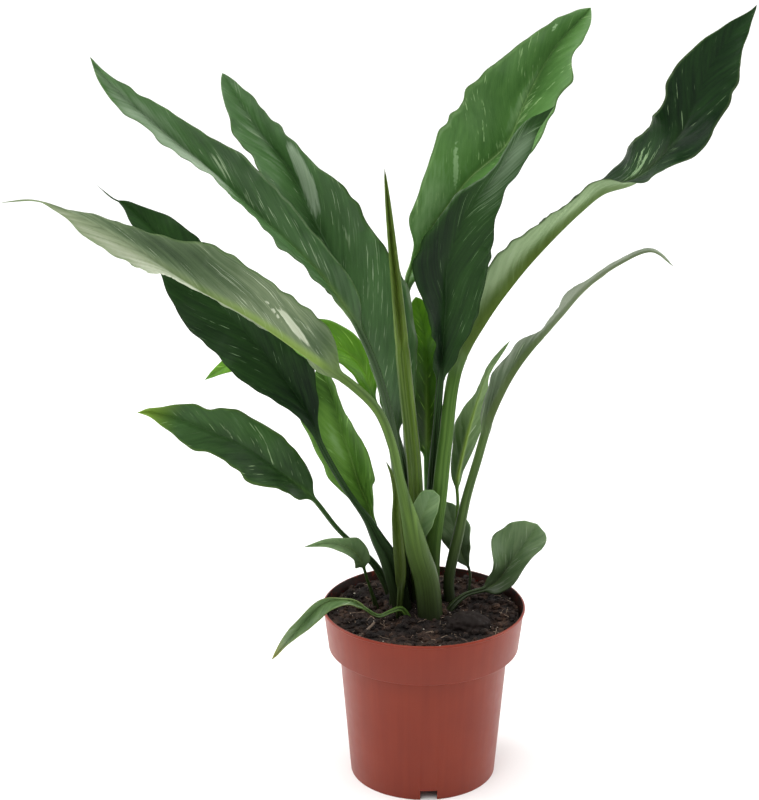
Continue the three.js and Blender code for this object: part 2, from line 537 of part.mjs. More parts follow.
function soilGeometry() {
  const collarFoot = POT_HEIGHT - COLLAR_HEIGHT + WALL + CLEARANCE;
  const bottom = FLOOR_UNDERSIDE + FLOOR_THICKNESS + CLEARANCE;
  const inside = WALL + CLEARANCE;
  const collarSlope = (RIM_RADIUS - COLLAR_FOOT_RADIUS) / COLLAR_HEIGHT;
  const topRadius = COLLAR_FOOT_RADIUS - inside + collarSlope * (SOIL_TOP - collarFoot);
  const profile = [
    [0, bottom],
    [bodyRadius(bottom) - inside, bottom],
    [bodyRadius(collarFoot) - inside, collarFoot],
    [COLLAR_FOOT_RADIUS - inside, collarFoot],
    [topRadius, SOIL_TOP],
  ];
  for (let ring = SOIL_RINGS - 1; ring >= 0; ring--)
    profile.push([(topRadius * ring) / SOIL_RINGS, SOIL_TOP]);
  const body = turned(profile, SOIL_SIDES);
  const position = body.getAttribute("position");
  for (let i = 0; i < position.count; i++)
    if (position.getZ(i) > SOIL_TOP - CLEARANCE)
      position.setZ(i, soilHeight(position.getX(i), position.getY(i)));
  const lump = new THREE.SphereGeometry(1, 12, 8).scale(...BARK.half);
  lump.rotateZ(degToRad(BARK.angle)).translate(BARK.x, BARK.y, SOIL_TOP);
  let soil = solidOf(body).add(solidOf(lump));
  for (const leaf of LEAVES) soil = soil.subtract(solidOf(holeGeometry(leaf)));
  return geometryOf(soil);
}

// ---- The assembly

const POT_PLASTIC = new THREE.MeshStandardMaterial({ color: 0x9a4c3a, roughness: 0.5, metalness: 0 });
const PEAT = new THREE.MeshStandardMaterial({ color: 0x2e1e18, roughness: 0.95, metalness: 0 });
const LEAF_GREEN = new THREE.MeshStandardMaterial({ color: 0x35562e, roughness: 0.45, metalness: 0 });

const group = new THREE.Group();

function addPiece(name, geometry, material) {
  const mesh = new THREE.Mesh(geometry, material);
  mesh.name = name;
  group.add(mesh);
}

addPiece("pot", potGeometry(), POT_PLASTIC);
addPiece("soil", soilGeometry(), PEAT);
for (const leaf of LEAVES) addPiece(leaf.name, leafGeometry(leaf), LEAF_GREEN);

export default group;
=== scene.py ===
# %% [markdown]
# # A potted peace lily
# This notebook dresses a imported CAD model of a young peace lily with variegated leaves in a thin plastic
# nursery pot. The CAD model gives every place and size. Here each part gets a finer form and a finish.
# The first cell loads the model and deselects it, because Blender's operators act on all that is selected.

# %% Load the model
import math
import random

import bpy
import bmesh
import numpy as np
from mathutils import Matrix, Vector


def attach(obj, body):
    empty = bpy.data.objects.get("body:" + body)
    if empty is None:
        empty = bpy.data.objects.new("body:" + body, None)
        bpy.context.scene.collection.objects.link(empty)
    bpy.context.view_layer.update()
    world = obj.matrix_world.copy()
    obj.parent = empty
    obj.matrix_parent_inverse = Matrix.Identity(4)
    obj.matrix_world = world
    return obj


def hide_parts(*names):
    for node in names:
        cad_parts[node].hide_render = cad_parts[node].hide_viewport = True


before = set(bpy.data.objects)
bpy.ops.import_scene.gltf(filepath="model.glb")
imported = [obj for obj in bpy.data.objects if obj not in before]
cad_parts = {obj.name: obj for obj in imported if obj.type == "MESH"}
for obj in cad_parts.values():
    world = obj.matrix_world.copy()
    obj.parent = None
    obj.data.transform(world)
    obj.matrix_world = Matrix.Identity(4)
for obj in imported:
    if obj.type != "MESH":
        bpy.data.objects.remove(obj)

bpy.ops.object.select_all(action="DESELECT")
MM = 0.001
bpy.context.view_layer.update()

# %% [markdown]
# ## Small helpers
# Colours are written as sRGB hex values, as a colour picker shows them, and a shader wants linear light.
# The node helper adds one node, sets what it is given and links what comes from another node. Its inputs
# are named, or listed in the node's own order, and a node that is given as an input gives its first output.

# %% Helpers for colours, nodes and meshes
def linear(hex_colour):
    channels = [int(hex_colour[i:i + 2], 16) / 255 for i in (1, 3, 5)]
    return (*(c / 12.92 if c <= 0.04045 else ((c + 0.055) / 1.055) ** 2.4 for c in channels), 1)


MATH, RANGE, MIX, NOISE = "ShaderNodeMath", "ShaderNodeMapRange", "ShaderNodeMix", "ShaderNodeTexNoise"


def add_node(tree, kind, inputs=(), **settings):
    node = tree.nodes.new(kind)
    for key, value in settings.items():
        setattr(node, key, value)
    for key, value in (inputs.items() if isinstance(inputs, dict) else enumerate(inputs)):
        if isinstance(value, bpy.types.Node):
            value = value.outputs[0]
        if isinstance(value, bpy.types.NodeSocket):
            tree.links.new(value, node.inputs[key])
        else:
            node.inputs[key].default_value = value
    return node


def new_material(name):
    material = bpy.data.materials.new(name)
    material.use_nodes = True
    return material, material.node_tree, material.node_tree.nodes["Principled BSDF"]


def finish_piece(piece, name, material, slot, *replaced):
    piece.name = piece.data.name = name
    piece.data.materials.clear()
    piece.data.materials.append(material)
    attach(piece, "root")
    if replaced:
        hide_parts(*replaced)
    print(name, len(piece.data.polygons), "faces")


def pick(*pieces):
    bpy.ops.object.select_all(action="DESELECT")
    for piece in pieces:
        piece.select_set(True)
    bpy.context.view_layer.objects.active = pieces[0]


def settle(piece):
    pick(piece)
    bpy.ops.object.transform_apply(location=True, rotation=True, scale=True)


# %% [markdown]
# ## Camera
# The photograph looks a little down on the plant from about 1.1 m. The rim's ellipse is flatter than the
# foot's, which gives the camera's height and distance. The long side of the frame is 800 pixels.

# %% Camera
CAMERA_DISTANCE = 1100
CAMERA_HEIGHT = 587.3
CAMERA_PITCH = 0.3116  # radians down from level
CAMERA_YAW = 0.0238
FOCAL_PIXELS = 2015.8
FRAME_LONG_SIDE = 800

camera_data = bpy.data.cameras.new("camera")
camera = bpy.data.objects.new("camera", camera_data)
bpy.context.scene.collection.objects.link(camera)
bpy.context.scene.camera = camera
camera.location = (0, -CAMERA_DISTANCE * MM, CAMERA_HEIGHT * MM)
camera.rotation_euler = (math.pi / 2 - CAMERA_PITCH, 0, CAMERA_YAW)
camera_data.sensor_width = 36
camera_data.lens = FOCAL_PIXELS * camera_data.sensor_width / FRAME_LONG_SIDE
print("lens in mm:", round(camera_data.lens, 1))

# %% [markdown]
# ## Floor and light
# A pale floor runs out past the frame. The light is that of a white studio: a broad soft light from above
# and behind, one large panel on each side, which draws a pale edge down both sides of the pot, and a
# weaker panel in front. The colours stay as they are with the Standard view.

# %% Floor
bpy.ops.mesh.primitive_plane_add(size=24)
floor = bpy.context.object
floor.name = "floor"
floor_material, tree, shader = new_material("pale_painted_floor")
shader.inputs["Base Color"].default_value = linear("#f4f4f3")
shader.inputs["Roughness"].default_value = 0.9
shader.inputs["Specular IOR Level"].default_value = 0.1
floor.data.materials.append(floor_material)

# %% Light
def linear_strength(tree, direction, low, high, dark, bright):
    """A brightness that grows from dark to bright along a direction of the surroundings."""
    where = add_node(tree, "ShaderNodeTexCoord").outputs["Generated"]
    along = add_node(tree, "ShaderNodeVectorMath", {0: where, 1: direction}, operation="DOT_PRODUCT")
    return add_node(tree, RANGE, [along.outputs["Value"], low, high, dark, bright],
                    interpolation_type="SMOOTHSTEP").outputs[0]


world = bpy.data.worlds.new("white_studio")
bpy.context.scene.world = world
world.use_nodes = True
background = world.node_tree.nodes["Background"]
background.inputs["Color"].default_value = linear("#ffffff")
toward_light = (0, 0.72, 0.69)  # behind and above the plant
brightness = linear_strength(world.node_tree, toward_light, low=-0.75, high=0.55, dark=0.22, bright=1.05)
world.node_tree.links.new(brightness, background.inputs["Strength"])
bpy.context.scene.view_settings.view_transform = "Standard"


def add_panel(name, place, target, size, power):
    data = bpy.data.lights.new(name, "AREA")
    data.shape = "RECTANGLE"
    data.size, data.size_y = size
    data.energy = power
    panel = bpy.data.objects.new(name, data)
    bpy.context.scene.collection.objects.link(panel)
    panel.location = place
    panel.rotation_euler = (Vector(target) - Vector(place)).to_track_quat("-Z", "Y").to_euler()


sun = bpy.data.objects.new("sky_panel", bpy.data.lights.new("sky_panel", "SUN"))
sun.data.energy = 1.25
sun.data.angle = math.radians(60)
sun.rotation_euler = (math.radians(12), math.radians(-14), 0)
bpy.context.scene.collection.objects.link(sun)
plant_middle = (0, 0, 0.2)
add_panel("left_panel", (-1.3, 0.3, 0.5), plant_middle, (0.8, 1.6), 14.5)
add_panel("right_panel", (1.3, 0.3, 0.5), plant_middle, (0.8, 1.6), 14.5)
add_panel("front_panel", (-0.7, -1.7, 1.9), plant_middle, (1.0, 1.0), 8)

# %% [markdown]
# ## The pot's plastic
# A nursery pot is injection moulded in polypropylene, coloured right through. It is satin, so it shows the
# panels as broad soft bands. Melt that flows down the wall leaves faint upright streaks, and handling
# leaves slight scuffs, so the roughness changes a little from place to place. Inside, peat sticks to the
# wall where an attribute of the mesh says so.

# %% Plastic of the pot
POT_HEIGHT = 106
FLOW_LINE_SPACING = 4  # mm round the pot
pot_plastic, tree, shader = new_material("moulded_polypropylene")
where = add_node(tree, "ShaderNodeTexCoord").outputs["Object"]
apart = add_node(tree, "ShaderNodeSeparateXYZ", {"Vector": where})
angle = add_node(tree, MATH, [apart.outputs["Y"], apart.outputs["X"]], operation="ARCTAN2")
round_pot = add_node(tree, "ShaderNodeCombineXYZ", {"X": angle, "Y": apart.outputs["Z"]})
streaks = add_node(tree, "ShaderNodeMapping", {"Vector": round_pot, "Scale": (50 / FLOW_LINE_SPACING, 9, 1)})
flow = add_node(tree, NOISE, {"Vector": streaks, "Scale": 1, "Detail": 3, "Roughness": 0.6})
cloud = add_node(tree, NOISE, {"Vector": where, "Scale": 30, "Detail": 3})
mixed = add_node(tree, MATH, [flow, cloud], operation="ADD")
tone = add_node(tree, RANGE, [mixed, 0.7, 1.3])
colour = add_node(tree, MIX, {0: tone, 6: linear("#742817"), 7: linear("#7e2f1b")}, data_type="RGBA")
scuffs = add_node(tree, NOISE, {"Vector": where, "Scale": 160, "Detail": 4})
gloss = add_node(tree, RANGE, {"Value": scuffs, "To Min": 0.34, "To Max": 0.46})
bump = add_node(tree, "ShaderNodeBump", {"Height": flow, "Strength": 0.12, "Distance": 0.0003})
soil_and_shade = add_node(tree, NOISE, {"Vector": where, "Scale": 190, "Detail": 5, "Roughness": 0.7})
inside = add_node(tree, "ShaderNodeAttribute", attribute_name="inside")
stuck = add_node(tree, MATH, [soil_and_shade, inside.outputs["Fac"]], operation="ADD")
stuck = add_node(tree, RANGE, [stuck, 0.92, 1.1])
dirty = add_node(tree, MIX, {0: stuck, 6: colour.outputs[2], 7: linear("#241712")}, data_type="RGBA")
tree.links.new(dirty.outputs[2], shader.inputs["Base Color"])
tree.links.new(gloss.outputs[0], shader.inputs["Roughness"])
tree.links.new(bump.outputs[0], shader.inputs["Normal"])
shader.inputs["Specular IOR Level"].default_value = 0.22  # a dull, slightly dusty skin
shader.inputs["IOR"].default_value = 1.49  # polypropylene
shader.inputs["Subsurface Weight"].default_value = 0.12  # the thin wall glows a little
shader.inputs["Subsurface Radius"].default_value = (0.004, 0.0012, 0.0008)
shader.inputs["Subsurface Scale"].default_value = 1
print(pot_plastic.name, len(tree.nodes), "nodes")

# %% [markdown]
# ## The pot
# The pot is one thin wall: a foot ring, a tapered body, a step out to a wide collar, and a rounded lip. It
# could be spun from a profile. Here a circle is pulled along that profile ring by ring, up the outside
# and down the inside, as one does by hand with extrude and scale, because every ring stays easy to change.

# %% Pull the wall of the pot
RIM_RADIUS, COLLAR_FOOT_RADIUS, BODY_TOP_RADIUS, FOOT_RADIUS = 60, 56.4, 50.2, 43.4
COLLAR_FOOT = POT_HEIGHT - 26
WALL = 1.2
FLOOR_UNDERSIDE, FLOOR_TOP = 6.5, 8
BOSS_RADIUS = 8
POT_SIDES = 144

pot_profile = [
    (BOSS_RADIUS, 0), (BOSS_RADIUS, FLOOR_UNDERSIDE), (FOOT_RADIUS - WALL, FLOOR_UNDERSIDE),
    (FOOT_RADIUS - WALL, 0), (FOOT_RADIUS, 0), (BODY_TOP_RADIUS, COLLAR_FOOT),
    (COLLAR_FOOT_RADIUS - 0.6, COLLAR_FOOT), (COLLAR_FOOT_RADIUS, COLLAR_FOOT + 0.7),
    (RIM_RADIUS - 0.7, POT_HEIGHT - 1.8), (RIM_RADIUS, POT_HEIGHT - 1.2), (RIM_RADIUS, POT_HEIGHT - 0.5),
    (RIM_RADIUS - 0.4, POT_HEIGHT), (RIM_RADIUS - WALL, POT_HEIGHT),
    (RIM_RADIUS - WALL - 0.2, POT_HEIGHT - 0.5),
    (COLLAR_FOOT_RADIUS - WALL, COLLAR_FOOT + WALL), (BODY_TOP_RADIUS - WALL, COLLAR_FOOT + WALL),
    (FOOT_RADIUS - WALL + 0.6, FLOOR_TOP),
]


def pull_rings(profile, sides):
    """Pulls a circle along (radius, height) points in mm, and closes its two ends."""
    radius, height = profile[0]
    bpy.ops.mesh.primitive_circle_add(vertices=sides, radius=radius * MM, fill_type="NGON",
                                      location=(0, 0, height * MM))
    piece = bpy.context.object
    settle(piece)
    bpy.ops.object.mode_set(mode="EDIT")
    bpy.ops.mesh.select_all(action="SELECT")
    for next_radius, next_height in profile[1:]:
        bpy.ops.mesh.extrude_region_move(
            TRANSFORM_OT_translate={"value": (0, 0, (next_height - height) * MM)})
        ratio = next_radius / radius
        bpy.ops.transform.resize(value=(ratio, ratio, 1), center_override=(0, 0, next_height * MM))
        radius, height = next_radius, next_height
    bpy.ops.mesh.select_all(action="SELECT")
    bpy.ops.mesh.normals_make_consistent(inside=False)
    bpy.ops.object.mode_set(mode="OBJECT")
    return piece


pot = pull_rings(pot_profile, POT_SIDES)
print("pot rings:", len(pot_profile))

# %% [markdown]
# Notches in the foot ring and holes in the floor let water out. Each is a plain cutter, copied round the
# pot and taken away with a Boolean modifier. A small bevel then breaks every sharp edge, because a moulded
# edge always catches a thin line of light.

# %% Cut the notches and drain holes, and round the edges
NOTCH_COUNT, NOTCH_WIDTH, NOTCH_HEIGHT, NOTCH_FIRST_ANGLE = 3, 10, 6, -85
DRAIN_COUNT, DRAIN_RADIUS, DRAIN_RING_RADIUS = 6, 3.5, 27
NOTCH_CUT_DEPTH, DRAIN_CUT_DEPTH = 8, 6  # of the cutters, which reach past the wall and the floor
EDGE_BEVEL = 0.35

cutters = []
for i in range(NOTCH_COUNT):
    turn = math.radians(NOTCH_FIRST_ANGLE) + i * 2 * math.pi / NOTCH_COUNT
    bpy.ops.mesh.primitive_cube_add(size=1, location=(
        FOOT_RADIUS * math.cos(turn) * MM, FOOT_RADIUS * math.sin(turn) * MM, 0), rotation=(0, 0, turn))
    bpy.context.object.scale = (NOTCH_CUT_DEPTH * MM, NOTCH_WIDTH * MM, 2 * NOTCH_HEIGHT * MM)
    cutters.append(bpy.context.object)
for i in range(DRAIN_COUNT):
    turn = i * 2 * math.pi / DRAIN_COUNT
    bpy.ops.mesh.primitive_cylinder_add(
        vertices=24, radius=DRAIN_RADIUS * MM, depth=DRAIN_CUT_DEPTH * MM, location=(
            DRAIN_RING_RADIUS * math.cos(turn) * MM, DRAIN_RING_RADIUS * math.sin(turn) * MM, FLOOR_TOP * MM))
    cutters.append(bpy.context.object)
pick(*cutters)
bpy.ops.object.join()
cutter = bpy.context.object
settle(cutter)
pick(pot)
cut = pot.modifiers.new("cut", "BOOLEAN")
cut.object = cutter
cut.solver = "EXACT"
bpy.ops.object.modifier_apply(modifier="cut")
bpy.data.objects.remove(cutter)
soften = pot.modifiers.new("soften", "BEVEL")
soften.width = EDGE_BEVEL * MM
soften.segments = 2
soften.limit_method = "ANGLE"
soften.angle_limit = math.radians(38)
bpy.ops.object.modifier_apply(modifier="soften")
bpy.ops.object.shade_smooth_by_angle(angle=math.radians(35))

# %% [markdown]
# Peat dust sticks to the inside of the collar above the soil, less so at the lip. It could be painted with
# a mask image. An attribute of the mesh holds it as well, needs no image, and is set by each vertex's place.

# %% Mark the inside of the collar
SOILED_WALL, SOILED_LIP = 0.9, 0.62
LIP_HEIGHT = 3
COLLAR_STEP, WALL_MIDDLE = 0.5, 0.7  # mm above the step, and mm in from the outer face
collar_slope = (RIM_RADIUS - COLLAR_FOOT_RADIUS) / (POT_HEIGHT - COLLAR_FOOT)
inside = pot.data.attributes.new("inside", "FLOAT", "POINT")
for vertex, value in zip(pot.data.vertices, inside.data):
    x, y, z = (v / MM for v in vertex.co)
    outer = COLLAR_FOOT_RADIUS + collar_slope * (z - COLLAR_FOOT)
    if z > COLLAR_FOOT + COLLAR_STEP and math.hypot(x, y) < outer - WALL_MIDDLE:
        value.value = SOILED_WALL if z < POT_HEIGHT - LIP_HEIGHT else SOILED_LIP
finish_piece(pot, "nursery_pot", pot_plastic, "pot_plastic", "pot")

# %% [markdown]
# ## The soil
# Potting soil is damp, dark peat: crumbs of many sizes with brown fibres, bits of bark and pale grains. The
# bulk is pulled ring by ring as the pot was, and its top is a disc of close rings. Loose crumbs, fibres and
# grains then lie on it, each kind modelled once and copied with its own mesh. Damp peat is nearly black with
# brown lumps, so the colour follows a noise of 7 mm through a ramp, and wet places are darker still.

# %% Peat
peat, tree, shader = new_material("damp_peat")
where = add_node(tree, "ShaderNodeTexCoord").outputs["Object"]
lumps = add_node(tree, NOISE, {"Vector": where, "Scale": 140, "Detail": 6, "Roughness": 0.65})
grit = add_node(tree, NOISE, {"Vector": where, "Scale": 900, "Detail": 3})
ramp = add_node(tree, "ShaderNodeValToRGB", {"Fac": lumps})
for place, colour in ((0.30, "#120a07"), (0.50, "#281a13"), (0.64, "#463226")):
    element = ramp.color_ramp.elements.new(place)
    element.color = linear(colour)
ramp.color_ramp.elements[0].color = linear("#0d0807")
ramp.color_ramp.elements[-1].color = linear("#75604c")
wet = add_node(tree, NOISE, {"Vector": where, "Scale": 55, "Detail": 3, "Roughness": 0.6})
wetness = add_node(tree, RANGE, [wet, 0.45, 0.6, 0, 0.8], interpolation_type="SMOOTHSTEP")
damp = add_node(tree, MIX, {0: wetness, 6: ramp.outputs["Color"], 7: linear("#0c0706")}, data_type="RGBA")
rough = add_node(tree, MATH, [lumps, grit], operation="ADD")
bump = add_node(tree, "ShaderNodeBump", {"Height": rough, "Strength": 0.9, "Distance": 0.0012})
tree.links.new(damp.outputs[2], shader.inputs["Base Color"])
tree.links.new(bump.outputs[0], shader.inputs["Normal"])
shader.inputs["Roughness"].default_value = 0.85
shader.inputs["Specular IOR Level"].default_value = 0.3
print(peat.name, len(tree.nodes), "nodes")

# %% The bulk of the soil
SOIL_TOP = 97
GAP = 0.3
SOIL_SIDES = 240
SOIL_RING_STEP = 1.0
top_radius = COLLAR_FOOT_RADIUS - WALL - GAP + collar_slope * (SOIL_TOP - COLLAR_FOOT - WALL)
soil_profile = [
    (FOOT_RADIUS - WALL, FLOOR_TOP + GAP), (BODY_TOP_RADIUS - WALL - GAP, COLLAR_FOOT + WALL + GAP),
    (COLLAR_FOOT_RADIUS - WALL - GAP, COLLAR_FOOT + WALL + GAP), (top_radius, SOIL_TOP)]
ring = top_radius
while ring > 2 * SOIL_RING_STEP:
    ring -= SOIL_RING_STEP
    soil_profile.append((ring, SOIL_TOP))
soil = pull_rings(soil_profile, SOIL_SIDES)

# %% [markdown]
# The top could be sculpted. Here it is raised by rule round the crown and toward the wall, and then raised
# and lowered by procedural noise at three scales: mounds, clods and crumbs.

# %% Raise the soil's surface
CROWN_X, CROWN_Y, CROWN_REACH, CROWN_HEIGHT = -2, 16, 24, 4
BANK_HEIGHT, BANK_START, BANK_BREADTH = 4.5, 0.5, 0.35  # the soil is piled a little up the wall


def displace(piece, name, size, height, kind="CLOUDS", middle=0.5, **settings):
    """Raises and lowers a surface by procedural noise, with size and height in mm."""
    noise = bpy.data.textures.new(name, kind)
    noise.noise_scale = size * MM
    raised = piece.modifiers.new(name, "DISPLACE")
    raised.texture = noise
    raised.texture_coords = "LOCAL"
    raised.strength = height * MM
    raised.mid_level = middle
    for key, value in settings.items():
        setattr(raised, key, value)
    bpy.ops.object.modifier_apply(modifier=name)


surface = soil.vertex_groups.new(name="surface")
for vertex in soil.data.vertices:
    x, y = vertex.co.x / MM, vertex.co.y / MM
    reach = math.hypot(x, y) / top_radius
    if vertex.co.z > (SOIL_TOP - 1) * MM and reach < 0.999:
        surface.add([vertex.index], min(1, 0.25 + 4 * (1 - reach)), "REPLACE")
        mound = CROWN_HEIGHT * math.exp(-((x - CROWN_X) ** 2 + (y - CROWN_Y) ** 2) / CROWN_REACH ** 2)
        bank = BANK_HEIGHT * min(1, max(0, (reach - BANK_START) / BANK_BREADTH))
        bank *= 0.75 + 0.25 * math.sin(math.atan2(y, x))  # higher at the back
        vertex.co.z += (mound * (1 - reach ** 4) + bank) * MM
for name, size, height, kind in (("mounds", 16, 5.0, "CLOUDS"), ("clods", 5, 2.6, "CLOUDS"),
                                 ("crumbs", 2.2, 1.5, "STUCCI")):
    displace(soil, name, size, height, kind, vertex_group="surface", direction="Z")
bpy.ops.object.shade_smooth_by_angle(angle=math.radians(50))
print("soil's top in mm:", round(max(vertex.co.z for vertex in soil.data.vertices) / MM, 1))
finish_piece(soil, "potting_soil", peat, "peat_soil", "soil")

# %% [markdown]
# The loose pieces are laid by seeded chance, so every run gives the same soil. Each copy is turned and
# scaled at random and dropped a little into the surface below it, which is found by a ray from above.

# %% Loose crumbs, grains and fibres
chance = random.Random(11)


def soil_height(x, y):
    """Height of the soil's surface at a place, in mm."""
    hit, place = soil.ray_cast((x * MM, y * MM, 200 * MM), (0, 0, -1))[:2]
    return place.z / MM if hit else SOIL_TOP


def scatter(model, count, smallest, largest, sink, reach=56):
    """Copies a model of 1 mm over the soil, and joins the copies into one piece. sink is how far above the
    surface its middle lies, as a share of its size."""
    gathered = bmesh.new()
    for i in range(count):
        far = reach * math.sqrt(chance.random())
        around = chance.random() * 2 * math.pi
        x, y = far * math.cos(around), far * math.sin(around)
        size = smallest + (largest - smallest) * chance.random() ** 2.5  # most are small
        turn = (Matrix.Rotation(chance.random() * 6.28, 4, "Z")
                @ Matrix.Rotation((chance.random() - 0.5) * 0.9, 4, "X")
                @ Matrix.Rotation((chance.random() - 0.5) * 0.6, 4, "Y"))
        breadth = size * (0.6 + 0.4 * chance.random())
        thickness = size * (0.5 + 0.4 * chance.random())
        place = Matrix.Translation((x * MM, y * MM, (soil_height(x, y) + size * sink) * MM))
        copy = model.data.copy()
        copy.transform(place @ turn @ Matrix.Diagonal((size, breadth, thickness, 1)))
        gathered.from_mesh(copy)
        bpy.data.meshes.remove(copy)
    piece = bpy.data.objects.new("loose", bpy.data.meshes.new("loose"))
    gathered.to_mesh(piece.data)
    gathered.free()
    bpy.context.scene.collection.objects.link(piece)
    bpy.data.objects.remove(model)
    return piece


def small_lump(detail, roughen):
    """A lump of 1 mm: an icosphere with its corners pushed in and out."""
    bpy.ops.mesh.primitive_ico_sphere_add(subdivisions=detail, radius=0.5 * MM)
    lump = bpy.context.object
    bpy.ops.object.mode_set(mode="EDIT")
    bpy.ops.transform.vertex_random(offset=roughen * MM, seed=3)
    bpy.ops.object.mode_set(mode="OBJECT")
    return lump


crumbs = scatter(
    small_lump(detail=2, roughen=0.12), count=900, smallest=1.2, largest=6, sink=0.18)
finish_piece(crumbs, "peat_crumbs", peat, "peat_soil")

# %% [markdown]
# The pale grains are chips of perlite and lime, dull white and a little dirty.

# %% Pale grains
chalk, tree, shader = new_material("perlite")
where = add_node(tree, "ShaderNodeTexCoord").outputs["Object"]
dirt = add_node(tree, NOISE, {"Vector": where, "Scale": 700, "Detail": 3})
tone = add_node(tree, MIX, {0: dirt, 6: linear("#6f6255"), 7: linear("#d8d0c2")}, data_type="RGBA")
tree.links.new(tone.outputs[2], shader.inputs["Base Color"])
shader.inputs["Roughness"].default_value = 0.8
grains = scatter(
    small_lump(detail=1, roughen=0.15), count=90, smallest=0.5, largest=1.6, sink=0.35)
finish_piece(grains, "pale_grains", chalk, "peat_soil")

# %% [markdown]
# Fibres of sphagnum and root lie across the crumbs. One fibre is a thin four-sided tube, pulled out in
# steps that wander, and every copy takes its own turn and length.

# %% Fibres
root_fibre, tree, shader = new_material("dry_root_fibre")
where = add_node(tree, "ShaderNodeTexCoord").outputs["Object"]
patches = add_node(tree, NOISE, {"Vector": where, "Scale": 120, "Detail": 2})
tone = add_node(tree, MIX, {0: patches, 6: linear("#3a241a"), 7: linear("#a8927c")}, data_type="RGBA")
tree.links.new(tone.outputs[2], shader.inputs["Base Color"])
shader.inputs["Roughness"].default_value = 0.7


def small_fibre(steps, thickness, wander):
    """A fibre of 1 mm length, four-sided and bent."""
    bpy.ops.mesh.primitive_circle_add(vertices=4, radius=thickness * MM, fill_type="NGON",
                                      location=(-0.5 * MM, 0, 0), rotation=(0, math.pi / 2, 0))
    fibre = bpy.context.object
    settle(fibre)
    bpy.ops.object.mode_set(mode="EDIT")
    bpy.ops.mesh.select_all(action="SELECT")
    for i in range(steps):
        drift = wander * math.sin(2.3 * i) * MM
        bpy.ops.mesh.extrude_region_move(TRANSFORM_OT_translate={
            "value": (MM / steps, drift, 0.4 * wander * math.cos(1.7 * i) * MM)})
    bpy.ops.mesh.select_all(action="SELECT")
    bpy.ops.mesh.normals_make_consistent(inside=False)
    bpy.ops.object.mode_set(mode="OBJECT")
    return fibre


fibres = scatter(
    small_fibre(steps=7, thickness=0.02, wander=0.05), count=150, smallest=4, largest=14, sink=0.07, reach=54)
finish_piece(fibres, "root_fibres", root_fibre, "peat_soil")

# %% [markdown]
# A lump of bark as big as a walnut half lies at the right. It starts from a sphere that is stretched and
# displaced at two scales. Its crest is painted lighter, a painted highlight where the light catches it.

# %% Lump of bark
# heights between which the crest is painted lighter, a painted highlight
HIGHLIGHT_FROM, HIGHLIGHT_TO = 106.5, 111  # mm above the table
bark_material, tree, shader = new_material("wet_bark")
where = add_node(tree, "ShaderNodeTexCoord").outputs["Object"]
along_grain = add_node(tree, "ShaderNodeMapping", {"Vector": where, "Scale": (60, 260, 200)})
grooves = add_node(tree, NOISE, {"Vector": along_grain, "Scale": 1, "Detail": 5, "Roughness": 0.6})
tone = add_node(tree, MIX, {0: grooves, 6: linear("#070403"), 7: linear("#211510")}, data_type="RGBA")
bump = add_node(tree, "ShaderNodeBump", {"Height": grooves, "Strength": 0.8, "Distance": 0.001})
height = add_node(tree, "ShaderNodeSeparateXYZ", {"Vector": where}).outputs["Z"]
# the crest is painted lighter, a painted highlight, broken up by the grooves
crest = add_node(tree, RANGE, [height, HIGHLIGHT_FROM * MM, HIGHLIGHT_TO * MM, 0, 0.45])
highlight_share = add_node(tree, MATH, [crest, grooves], operation="MULTIPLY")
highlighted_bark = add_node(tree, MIX, {0: highlight_share, 6: tone.outputs[2], 7: linear("#4a3a2d")}, data_type="RGBA")
tree.links.new(highlighted_bark.outputs[2], shader.inputs["Base Color"])
tree.links.new(bump.outputs[0], shader.inputs["Normal"])
shader.inputs["Roughness"].default_value = 0.75
shader.inputs["Specular IOR Level"].default_value = 0.25

BARK_PLACE, BARK_HALF, BARK_TURN = (27, -15), (15, 10, 11), -8
bpy.ops.mesh.primitive_ico_sphere_add(subdivisions=5, radius=1, rotation=(0, 0, math.radians(BARK_TURN)),
                                      location=(BARK_PLACE[0] * MM, BARK_PLACE[1] * MM, SOIL_TOP * MM))
bark = bpy.context.object
bark.scale = [half * MM for half in BARK_HALF]
settle(bark)
for name, size, height in (("facets", 9, 4.5), ("rough", 2.5, 2.2)):
    displace(bark, name, size, height, middle=0.62)
bpy.ops.object.shade_smooth()
finish_piece(bark, "bark_lump", bark_material, "peat_soil")

# %% [markdown]
# A splinter of pale, weathered wood sticks out of the soil at the left. It starts from a cube that is
# stretched, cut finer along its length, and displaced until its edges are ragged.

# %% Splinter of wood
splinter_material, tree, shader = new_material("weathered_softwood")
shader.inputs["Base Color"].default_value = linear("#665548")
shader.inputs["Roughness"].default_value = 0.8
SPLINTER_PLACE, SPLINTER_SIZE = (-33, -28, 101.5), (16, 1.2, 0.8)
SPLINTER_TILT, SPLINTER_TURN = -14, 56
bpy.ops.mesh.primitive_cube_add(size=1, location=[at * MM for at in SPLINTER_PLACE],
                                rotation=(0, math.radians(SPLINTER_TILT), math.radians(SPLINTER_TURN)))
splinter = bpy.context.object
splinter.scale = [size * MM for size in SPLINTER_SIZE]
settle(splinter)
bpy.ops.object.mode_set(mode="EDIT")
bpy.ops.mesh.select_all(action="SELECT")
bpy.ops.mesh.subdivide(number_cuts=9)
bpy.ops.object.mode_set(mode="OBJECT")
displace(splinter, "ragged", size=2, height=1.1)
finish_piece(splinter, "wood_splinter", splinter_material, "peat_soil")
